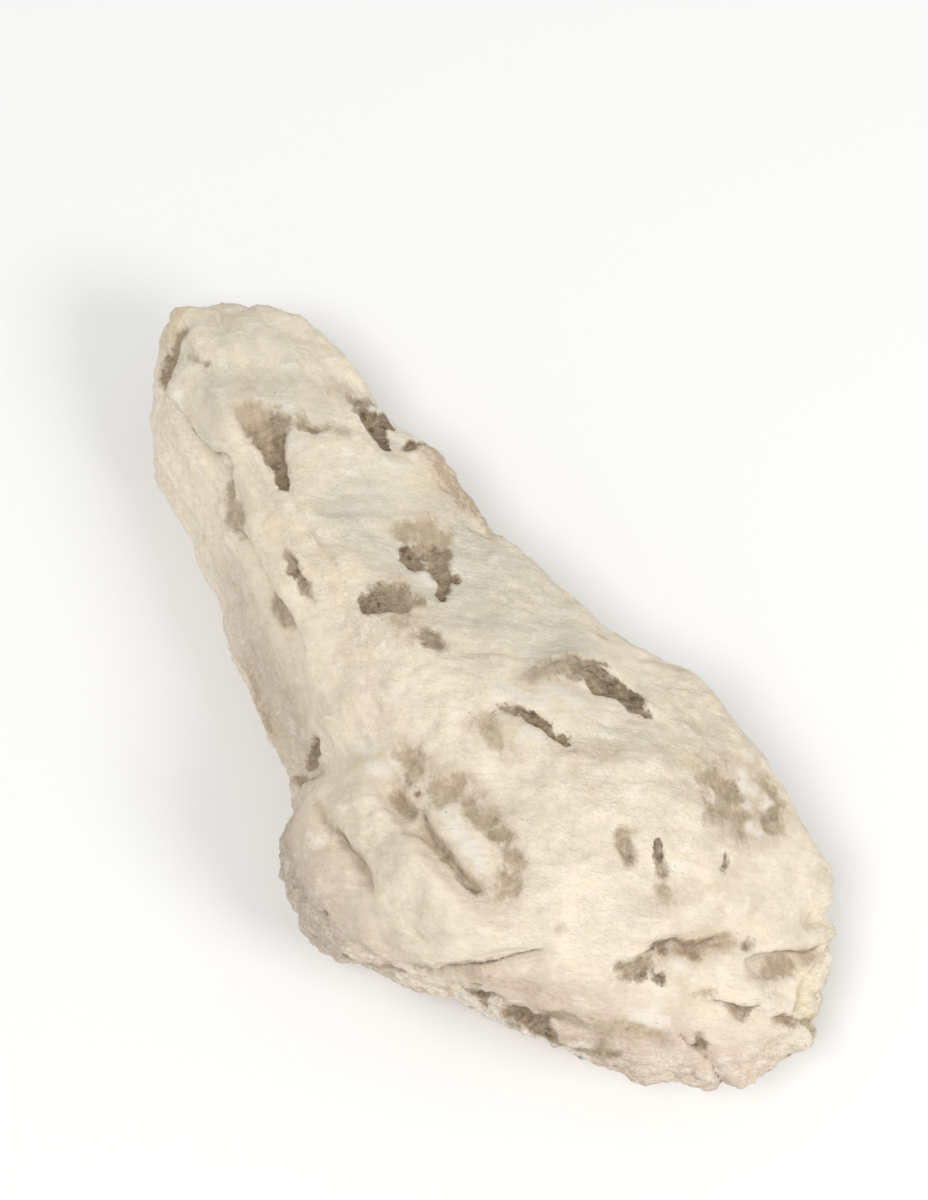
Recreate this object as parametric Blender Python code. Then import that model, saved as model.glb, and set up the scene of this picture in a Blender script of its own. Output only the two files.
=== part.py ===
"""A hand-sized rough piece of zebradorite: pale feldspar grown through with smoky quartz.

The stone lies on its flattest face. +X runs along it to the broad end, +Z is up, and the
origin is at the middle of its footprint. It is drawn like a piece of ground: a rim round
its widest part, and breaklines above and below the rim that hold the ridges and hollows.
"""
from math import cos, exp, radians, sin

import bmesh
import bpy
from mathutils import Vector, noise
from mathutils.geometry import delaunay_2d_cdt

# The stone's real length in metres, and the same length in the millimetres it is drawn in.
LENGTH = 0.119
DRAWN_LENGTH = 119.0
MM = LENGTH / DRAWN_LENGTH

# Drawn millimetres: the rim's thickness, the grid the body is evened out on, how far the
# body is swelled, how far it is drawn below the face it rests on before the cut, and how
# close two points of the cut have to be to become one.
RIM_BAND = 1.2
GRID = 0.8
SWELL = 0.15
SPARE_BELOW = 3.0
SAME_POINT = 0.05

# How far each pass of wear moves a point towards its neighbours' middle, and how often.
WORN_SHARE = 0.5
WORN_PASSES = 3
TRIANGLES = 9300

# Filling in plan: faces only inside the outline, and how close two plan points may be.
ONLY_INSIDE = 1
SAME_PLAN_POINT = 1e-5

# Lumps as (size, height), and flat chips with their sizes and their slopes above and
# below the rim. A higher CHIP_CRISP makes the edges between chips sharper. The steeper
# slope comes in over CHIP_TURN_SPAN, and is whole where the normal's z is CHIP_TURNED.
LUMPS = ((14.0, 0.55), (5.5, 0.28))
CHIP_SIZES = (15.0, 7.0)
CHIP_SLOPE_ABOVE = 0.09
CHIP_SLOPE_BELOW = 0.42
CHIP_CRISP = 9.0
CHIP_SEED = 37.0
CHIP_TURNED = -0.7
CHIP_TURN_SPAN = 0.6
HALF = Vector((0.5, 0.5, 0.5))

# A furrow keeps this share of its depth at its ends, and a hollow is flat over this share
# of its half-widths and reaches this far up and down a steep wall.
FURROW_END_DEPTH = 0.5
FURROW_END_SHARE = 0.2
ROUTE_SLACK = 0.8
HOLLOW_FLAT = 0.4
HOLLOW_EDGE = 0.9
HOLLOW_REACH = 6.0

FELDSPAR = (0.74, 0.66, 0.52, 1.0)
ROUGHNESS = 0.72

# The widest line round the stone as (x, y, z), from the narrow tip along the +Y side to
# the broad end and back along the -Y side. The -Y side has a deep notch above the boss.
RIM = [
    (-59.0, 5.0, 15.5), (-57.0, 7.0, 18.5), (-51.0, 14.0, 20), (-46.0, 17.5, 20.5),
    (-37.0, 19.0, 20.5), (-32.0, 18.0, 20.5), (-21.5, 19.0, 20.5), (-8.0, 18.5, 21.5),
    (-5.0, 19.5, 22), (0.0, 19.5, 22.5), (7.0, 20.5, 23), (13.0, 22.5, 23.5),
    (18.5, 25.0, 24), (27.0, 25.5, 24), (33.0, 25.0, 23.5), (41.0, 23.5, 22),
    (48.5, 22.5, 20), (50.5, 20.0, 19), (54.5, 18.0, 18.5), (57.5, 13.5, 17.5),
    (60.5, 9.0, 17), (60.0, 0.5, 16), (52.0, -8.5, 16), (47.0, -11.0, 16),
    (43.5, -14.0, 16), (38.5, -16.0, 15), (33.0, -17.5, 15), (27.0, -21.5, 15),
    (16.5, -27.5, 13), (11.5, -27.5, 12), (7.0, -26.5, 12), (3.0, -24.0, 12),
    (-2.0, -17.5, 12), (-6.0, -17.0, 11), (-12.5, -15.0, 10), (-25.0, -11.0, 10),
    (-34.0, -9.5, 10), (-43.0, -7.0, 10), (-50.5, -3.5, 10), (-54.0, 0.5, 11.5),
    (-56.5, 2.0, 12), (-58.5, 4.0, 13.5),
]

# Ridges and hollows above the rim, each a line of (x, y, z).
UPPER_LINES = {
    "flank_top": [
        (-49.0, -1.0, 19), (-42.5, -2.0, 20), (-35.5, -2.0, 21), (-27.5, -6.0, 22),
        (-19.5, -8.0, 23), (-11.5, -9.5, 24), (-5.0, -11.5, 24), (-1.5, -13.5, 23),
    ],
    "ridge": [
        (-50.5, 4.5, 21.5), (-44.5, 3.0, 23), (-34.5, 0.5, 25), (-27.5, 0.5, 26),
        (-19.5, 0.5, 27), (-11.5, 0.5, 28), (-3.0, -0.5, 30), (4.5, -1.0, 31),
    ],
    "far_shoulder": [
        (-53.5, 4.5, 20.5), (-49.0, 10.0, 22), (-43.0, 13.0, 22.5), (-38.5, 14.0, 22.5),
        (-29.5, 14.5, 23), (-20.5, 14.5, 23), (-11.5, 14.5, 24), (-3.0, 16.0, 25),
        (6.0, 17.5, 25.5), (15.0, 19.5, 26), (22.0, 21.5, 27), (29.5, 21.5, 27),
        (37.0, 19.5, 27), (44.5, 18.0, 25), (51.0, 14.5, 23), (55.5, 9.5, 20),
    ],
    "crest": [
        (8.5, 3.5, 32), (11.0, 13.0, 31), (20.0, 16.0, 31), (26.5, 12.0, 33),
    ],
    "broad_face": [
        (20.5, 4.0, 34), (31.5, 1.0, 34), (40.0, 9.0, 32), (45.5, 11.5, 29),
    ],
    "broad_face_edge": [
        (35.0, -7.5, 32.5), (42.5, -0.5, 31.5), (48.5, 7.5, 28),
    ],
    "front_lip": [
        (36.5, -11.5, 30.5), (43.5, -5.5, 28), (50.0, 1.0, 26.5), (54.0, 6.0, 25),
    ],
    "front_foot": [
        (39.5, -14.0, 23.5), (45.0, -9.5, 23), (52.0, -3.5, 21.5), (57.0, 2.0, 20.5),
    ],
    "boss_ridge": [
        (6.5, -16.5, 27), (13.0, -15.5, 30), (20.5, -16.5, 32), (28.0, -16.5, 32),
        (32.5, -14.5, 32),
    ],
    "boss_shoulder": [
        (3.5, -19.5, 22), (6.5, -23.0, 22), (11.0, -25.0, 22), (16.0, -24.5, 22),
        (21.5, -23.0, 23), (29.0, -20.0, 26), (35.0, -16.0, 24),
    ],
    "boss_rim": [
        (2.0, -18.0, 20), (4.5, -15.0, 25.5), (8.0, -12.0, 28),
    ],
    "valley": [
        (0.0, -15.5, 19), (2.0, -13.0, 23), (3.5, -10.0, 26.5), (3.5, -6.0, 29),
    ],
    "plate": [
        (16.5, -9.5, 31), (22.0, -9.5, 32.5), (27.5, -10.0, 33),
    ],
}

# The underside turns in from the rim to the face that the stone lies on.
UNDERCUT = [
    (-54.0, 6.0, 9), (-47.0, 12.5, 8), (-38.0, 16.5, 12), (-30.0, 13.5, 6),
    (-20.0, 17.0, 11), (-9.0, 14.0, 6), (3.0, 18.5, 13), (13.0, 17.5, 6),
    (22.0, 23.0, 12), (31.0, 20.0, 6), (40.0, 22.0, 11), (47.5, 17.0, 6),
    (54.5, 12.0, 9), (57.0, 5.0, 7), (52.0, -2.5, 9), (43.0, -8.0, 5),
    (34.0, -14.5, 8), (22.0, -20.0, 4), (13.0, -24.5, 7), (7.0, -22.5, 5),
    (2.0, -17.0, 6), (-4.0, -14.5, 6), (-16.0, -10.5, 4), (-30.0, -8.5, 6),
    (-43.0, -3.0, 4), (-51.0, 0.5, 7),
]
FOOTPRINT = [
    (-43.0, 2.0), (-37.0, 8.0), (-22.0, 11.0), (-4.0, 10.0), (14.0, 15.0), (30.0, 15.0),
    (42.0, 11.0), (47.0, 4.0), (40.0, -4.0), (26.0, -10.0), (14.0, -17.0), (4.0, -12.0),
    (-10.0, -7.0), (-28.0, -3.0),
]

# Furrows, cracks and ledges that show from a step away. Each has a depth, a width on the
# left and on the right of its route, and the route along the surface.
FURROWS = {
    "beside_plate": (1.9, 1.8, 2.6, [
        (8, -12, 28), (11.5, -12.5, 29.5), (17, -13, 31), (24, -13, 32.5), (27.5, -13, 32.5),
    ]),
    "round_plate": (0.7, 2.6, 1.8, [
        (8.5, -9, 29), (17.5, -6.5, 31.5), (26, -7.5, 33), (29, -9.5, 33), (29.5, -12, 32.5),
    ]),
    "across_boss": (1.3, 1.5, 3.0, [
        (4.5, -19, 23), (8.5, -20, 25), (14.5, -20.5, 26), (17, -21, 26),
    ]),
    "flank_crack": (1.1, 1.2, 3.2, [
        (-50, -0.5, 17), (-41, -2, 20), (-32, -4, 21), (-27, -6, 21.5), (-16, -8, 23.5),
        (-11.5, -9.5, 23.5),
    ]),
    "tip_vein": (0.8, 1.6, 1.6, [
        (-53, 5, 20), (-52, 2.5, 17.5), (-52.5, 1, 14.5), (-50, -0.5, 17),
    ]),
    "front_crack_left": (1.3, 1.4, 3.0, [
        (27.5, -21, 20.5), (30.5, -18.5, 26), (33.5, -15, 29), (35.5, -11.5, 31),
    ]),
    "front_ledge_middle": (1.3, 1.4, 3.4, [
        (43.5, -5.5, 28), (44, -2.5, 29.5), (43.5, -0.5, 30.5), (47.5, 7.5, 28.5),
        (48.5, 11, 26.5),
    ]),
    "front_ledge_right": (1.0, 1.3, 2.8, [(50.5, 7, 26.5), (52.5, 13, 22), (53.5, 16.5, 20)]),
    "front_ledge_low": (1.0, 1.3, 2.8, [(50, -0.5, 25.5), (54.5, 4.5, 23.5), (58.5, 9, 18.5)]),
    "front_recess": (2.6, 2.4, 3.4, [
        (31, -19.5, 18), (37, -16, 18), (41, -14, 19.5), (44.5, -11.5, 19.5), (48, -9, 20),
    ]),
    "crest_crack": (0.8, 1.6, 1.8, [(10.5, 2, 32), (16.5, 5.5, 33), (19, 5.5, 33.5)]),
    "back_crack": (1.4, 2.0, 5.0, [
        (-33, 18.5, 21), (-25, 18.5, 15), (-12, 18, 10), (-3, 17, 4),
    ]),
    "back_ledge": (1.6, 2.0, 5.5, [
        (14, 23, 19), (22, 25, 16), (35, 24.5, 13), (48, 21, 9),
    ]),
    "boss_side_crack": (0.9, 1.2, 2.4, [(-1, -18, 9), (8, -27, 8), (20, -25, 8), (31, -18, 10)]),
    "rim_notch": (1.6, 1.6, 1.6, [(50, 19.5, 18), (50, 16.5, 22)]),
}

# Shallow hollows where the quartz has broken lower than the feldspar, as a middle, two
# half-widths, the turn of the first one from +X in degrees, and a depth.
HOLLOWS = {
    "tip": ((-33.5, 2.0, 24.5), 6.5, 2.8, -16, 1.3),
    "tip_edge": ((-27.0, 15.0, 22.5), 3.6, 2.6, 0, 0.8),
    "middle": ((-9.0, 8.0, 26.5), 4.0, 3.0, 0, 0.6),
    "middle_low": ((-9.0, 1.5, 28.0), 3.4, 2.6, 30, 0.5),
    "flank": ((-32.0, -4.0, 21.0), 3.0, 1.8, -25, 0.8),
    "crest": ((14.5, 13.5, 30.0), 6.0, 2.6, 48, 1.0),
    "far_corner": ((36.0, 18.5, 28.0), 5.5, 4.0, 40, 0.9),
    "back_scar_broad": ((28.0, 27.0, 11.0), 9.0, 6.0, -6, 1.8),
    "back_scar_middle": ((-6.0, 20.0, 15.0), 7.0, 4.0, 4, 1.5),
    "back_scar_narrow": ((-42.0, 18.0, 13.0), 8.0, 5.0, 8, 1.5),
    "joint": ((-1.5, -15.0, 19.0), 3.0, 2.5, 0, 1.5),
}


def fill_to_rim(bm, rim, lines):
    """Adds the faces that join the rim to the breaklines inside it, in plan."""
    points, edges = list(rim), []
    for line in lines:
        start = len(points)
        points += [bm.verts.new(Vector(p) * MM) for p in line]
        edges += [(i, i + 1) for i in range(start, len(points) - 1)]
    plan = [vert.co.xy / MM for vert in points]
    outline = [list(range(len(rim)))[::-1]]
    found = delaunay_2d_cdt(plan, edges, outline, ONLY_INSIDE, SAME_PLAN_POINT, True)
    for face, outlines in zip(found[2], found[5]):
        if outlines:
            bm.faces.new([points[found[3][i][0]] for i in face])


def rough_body():
    """The closed body between the upper and the under surface."""
    bm = bmesh.new()
    top_rim = [bm.verts.new(Vector(p) * MM) for p in RIM]
    low_rim = [bm.verts.new(Vector((x, y, z - RIM_BAND)) * MM) for x, y, z in RIM]
    for i in range(len(RIM)):
        bm.faces.new((top_rim[i - 1], top_rim[i], low_rim[i], low_rim[i - 1]))
    fill_to_rim(bm, top_rim, UPPER_LINES.values())
    footprint = [(x, y, -SPARE_BELOW) for x, y in FOOTPRINT]
    fill_to_rim(bm, low_rim, [UNDERCUT, footprint])
    bmesh.ops.recalc_face_normals(bm, faces=bm.faces)
    mesh = bpy.data.meshes.new("zebradorite_stone")
    bm.to_mesh(mesh)
    bm.free()
    stone = bpy.data.objects.new("zebradorite_stone", mesh)
    bpy.context.scene.collection.objects.link(stone)
    return stone


def keep_shape(stone):
    """Keeps the shape that the modifiers make and clears them."""
    graph = bpy.context.evaluated_depsgraph_get()
    mesh = bpy.data.meshes.new_from_object(stone.evaluated_get(graph))
    stone.modifiers.clear()
    stone.data = mesh


def even_grid(stone):
    remesh = stone.modifiers.new("even_grid", "REMESH")
    remesh.mode = "VOXEL"
    remesh.voxel_size = GRID * MM


def wear(stone, passes):
    smooth = stone.modifiers.new("worn_edges", "SMOOTH")
    smooth.factor = WORN_SHARE
    smooth.iterations = passes
    keep_shape(stone)


def fade(x):
    """1 at 0, falling softly to 0 at 1 and beyond."""
    x = min(max(x, 0.0), 1.0)
    return 1.0 - x * x * (3.0 - 2.0 * x)


def furrow_depth(p, normal, furrow):
    """How deep the furrow cuts at a point. The route may lie a little off the surface, so
    distance along the normal counts for little."""
    depth, left, right, route = furrow
    best = 0.0
    for i, (a, b) in enumerate(zip(route, route[1:])):
        a, b = Vector(a), Vector(b)
        along = b - a
        t = min(max((p - a).dot(along) / along.length_squared, 0.0), 1.0)
        off = p - (a + along * t)
        off -= normal * off.dot(normal) * ROUTE_SLACK
        width = left if along.cross(off).dot(normal) > 0 else right
        end = (i + t) / (len(route) - 1)
        near_end = fade(min(end, 1.0 - end) / FURROW_END_SHARE)
        share = 1.0 - (1.0 - FURROW_END_DEPTH) * near_end
        best = max(best, depth * share * fade(off.length / width))
    return best


def hollow_depth(p, hollow):
    middle, long, wide, turn, depth = hollow
    off = p - Vector(middle)
    c, s = cos(radians(turn)), sin(radians(turn))
    u, v = (off.x * c + off.y * s) / long, (off.y * c - off.x * s) / wide
    reach = Vector((u, v, off.z / HOLLOW_REACH)).length
    return depth * fade((reach - HOLLOW_FLAT) / HOLLOW_EDGE)


def chip_height(p, normal):
    """Flat chips at their own small tilts, stronger below the rim than above it."""
    below = fade((normal.z - CHIP_TURNED) / CHIP_TURN_SPAN)
    height = 0.0
    for size in CHIP_SIZES:
        distances, centres = noise.voronoi(p / size)
        weights = [exp(-CHIP_CRISP * (d - distances[0])) for d in distances]
        tilts = [noise.cell_vector(c * CHIP_SEED) - HALF for c in centres]
        rises = [(p - c * size).dot(tilt) for c, tilt in zip(centres, tilts)]
        height += sum(w * rise for w, rise in zip(weights, rises)) / sum(weights)
    return height * (CHIP_SLOPE_ABOVE + (CHIP_SLOPE_BELOW - CHIP_SLOPE_ABOVE) * below)


def carve(stone):
    """Moves the surface in and out: lumps and chips all over, then the named marks."""
    normals = [vert.normal.copy() for vert in stone.data.vertices]
    for vert, normal in zip(stone.data.vertices, normals):
        p = vert.co / MM
        height = SWELL + sum(h * noise.noise(p / size) for size, h in LUMPS)
        height += chip_height(p, normal)
        height -= max(furrow_depth(p, normal, f) for f in FURROWS.values())
        height -= max(hollow_depth(p, h) for h in HOLLOWS.values())
        vert.co = (p + normal * height) * MM


def thin_out(stone):
    fewer = stone.modifiers.new("fewer_faces", "DECIMATE")
    fewer.ratio = TRIANGLES / (2 * len(stone.data.polygons))
    keep_shape(stone)


def flatten_base(stone):
    """Cuts the stone level where it lies, and puts the origin under its middle."""
    bm = bmesh.new()
    bm.from_mesh(stone.data)
    everything = bm.verts[:] + bm.edges[:] + bm.faces[:]
    bmesh.ops.bisect_plane(
        bm, geom=everything, plane_co=(0, 0, 0), plane_no=(0, 0, 1), clear_inner=True
    )
    bmesh.ops.remove_doubles(bm, verts=bm.verts, dist=SAME_POINT * MM)
    bmesh.ops.holes_fill(bm, edges=[edge for edge in bm.edges if edge.is_boundary])
    bmesh.ops.triangulate(bm, faces=[face for face in bm.faces if len(face.verts) > 3])
    bmesh.ops.recalc_face_normals(bm, faces=bm.faces)
    xs, ys = [v.co.x for v in bm.verts], [v.co.y for v in bm.verts]
    middle = Vector(((min(xs) + max(xs)) / 2, (min(ys) + max(ys)) / 2, 0))
    bmesh.ops.translate(bm, verts=bm.verts, vec=-middle)
    bm.to_mesh(stone.data)
    bm.free()


def feldspar():
    material = bpy.data.materials.new("feldspar")
    material.use_nodes = True
    shader = material.node_tree.nodes["Principled BSDF"]
    shader.inputs["Base Color"].default_value = FELDSPAR
    shader.inputs["Roughness"].default_value = ROUGHNESS
    return material


def main():
    for obj in list(bpy.data.objects):
        bpy.data.objects.remove(obj)
    stone = rough_body()
    even_grid(stone)
    wear(stone, WORN_PASSES)
    carve(stone)
    wear(stone, 1)
    thin_out(stone)
    flatten_base(stone)
    stone.data.materials.append(feldspar())


main()
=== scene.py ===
from math import cos, radians, sin

import bmesh
import bpy
import numpy as np
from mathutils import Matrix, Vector, kdtree, noise


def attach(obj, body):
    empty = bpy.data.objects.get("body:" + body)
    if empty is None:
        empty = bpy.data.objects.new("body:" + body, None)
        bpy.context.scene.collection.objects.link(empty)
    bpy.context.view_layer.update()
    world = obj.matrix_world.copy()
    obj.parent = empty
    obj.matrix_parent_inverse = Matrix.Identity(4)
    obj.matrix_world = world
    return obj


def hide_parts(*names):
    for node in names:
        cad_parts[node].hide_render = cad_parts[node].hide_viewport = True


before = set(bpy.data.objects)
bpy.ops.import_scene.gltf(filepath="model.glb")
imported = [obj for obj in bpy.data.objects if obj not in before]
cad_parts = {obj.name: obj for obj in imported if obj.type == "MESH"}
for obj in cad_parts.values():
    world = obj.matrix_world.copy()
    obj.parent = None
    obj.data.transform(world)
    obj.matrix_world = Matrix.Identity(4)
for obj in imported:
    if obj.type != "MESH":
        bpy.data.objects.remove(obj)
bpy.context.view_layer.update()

# Places are in millimetres in the frame's axes, and MM turns them into metres. GRID is the
# fine mesh's spacing. A mark's chain may lie a bit off the surface, so this share of its
# distance along the normal doesn't count.
MM = 0.001
GRID = 0.46
SOFTENING = 4
WELD = 0.01
ROUTE_SLACK = 0.7
NORMAL_PASSES = 12
HOLLOW_PASSES = 16
FAR_OUT = -99.0
HALF = Vector((0.5, 0.5, 0.5))
TILT_SEED = 31.0

# The face that the stone lies on stays flat: from where its normal points down by the first
# number, fully so after the second, and below the third in millimetres.
RESTING_DOWN = 0.8
RESTING_FADE = 0.15
RESTING_TOP = 1.0

# The grain of the feldspar: on the broad upper faces it runs across the stone, and on the
# flank and the head it runs along it. Turns are in degrees from +X.
CROSS_TURN = 50.0
LONG_TURN = -12.0
STROKE_TURN = 68.0
MOTTLED_TURN = -30.0
CRUMBLY_TURN = 10.0
CRUMB_TURN = 20.0
HEAD_START, HEAD_FADE = -24.0, 10.0
FLANK_TOP, FLANK_FADE = -2.0, 6.0
FLANK_SLOPE = 0.05
FLANK_END, FLANK_END_FADE = 8.0, 8.0

# How rough the break is: patches on any face, the sides low down, and the head.
PATCH_SPREAD = 12.0
LOW_START, LOW_FADE = 25.0, 9.0
ROUGH_HEAD_START, ROUGH_HEAD_FADE = -16.0, 16.0
ROUGH_HEAD = 0.5
ROUGH_FACE = 0.6

# Relief: lengths of splinters in millimetres, how sharp their edges are, and heights. A
# pair of heights is for any broken face and what a crumbled one adds.
ACROSS_SPLINTER = (7.0, 2.6, 3.0)
ALONG_SPLINTER = (9.0, 2.6, 3.0)
SMALL_SPLINTER = (3.4, 1.7, 1.7)
CRUMB = 1.5
CRISP = 22.0
SPLINTER_HEIGHT = 1.5
SMALL_SPLINTER_HEIGHT = (0.35, 0.45)
CRUMB_HEIGHT = (0.2, 0.4)
GRIT_HEIGHT = (0.15, 0.15)
TREAD_STEPS = 4.0
TREAD_HEIGHT = 0.8
TREAD_SHARE = 0.8
LONG_TREAD_SEED = 5.0
SWELLS = ((4.5, 0.18), (2.2, 0.12))

# Quartz: how ragged its outline is, and how far it has broken below the feldspar.
RAGGED_SIZES = (1.7, 0.9)
RAGGED_LEAST = 0.25
RAGGED_BY_GIRTH = 0.3
QUARTZ_SPREAD = 0.12
QUARTZ_SUNK = 0.05
SMOKY_SUNK = 0.55
QUARTZ_CHIP = 1.8
QUARTZ_CHIP_HEIGHT = 0.3
QUARTZ_CHIP_SEED = 9.0
GRAIN_BLEND = 0.4

# Cracks: how soon they deepen towards the middle, and how wide the darkest one's line is.
CRACK_CURVE = 1.5
CRACK_LINE = 0.6

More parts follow.
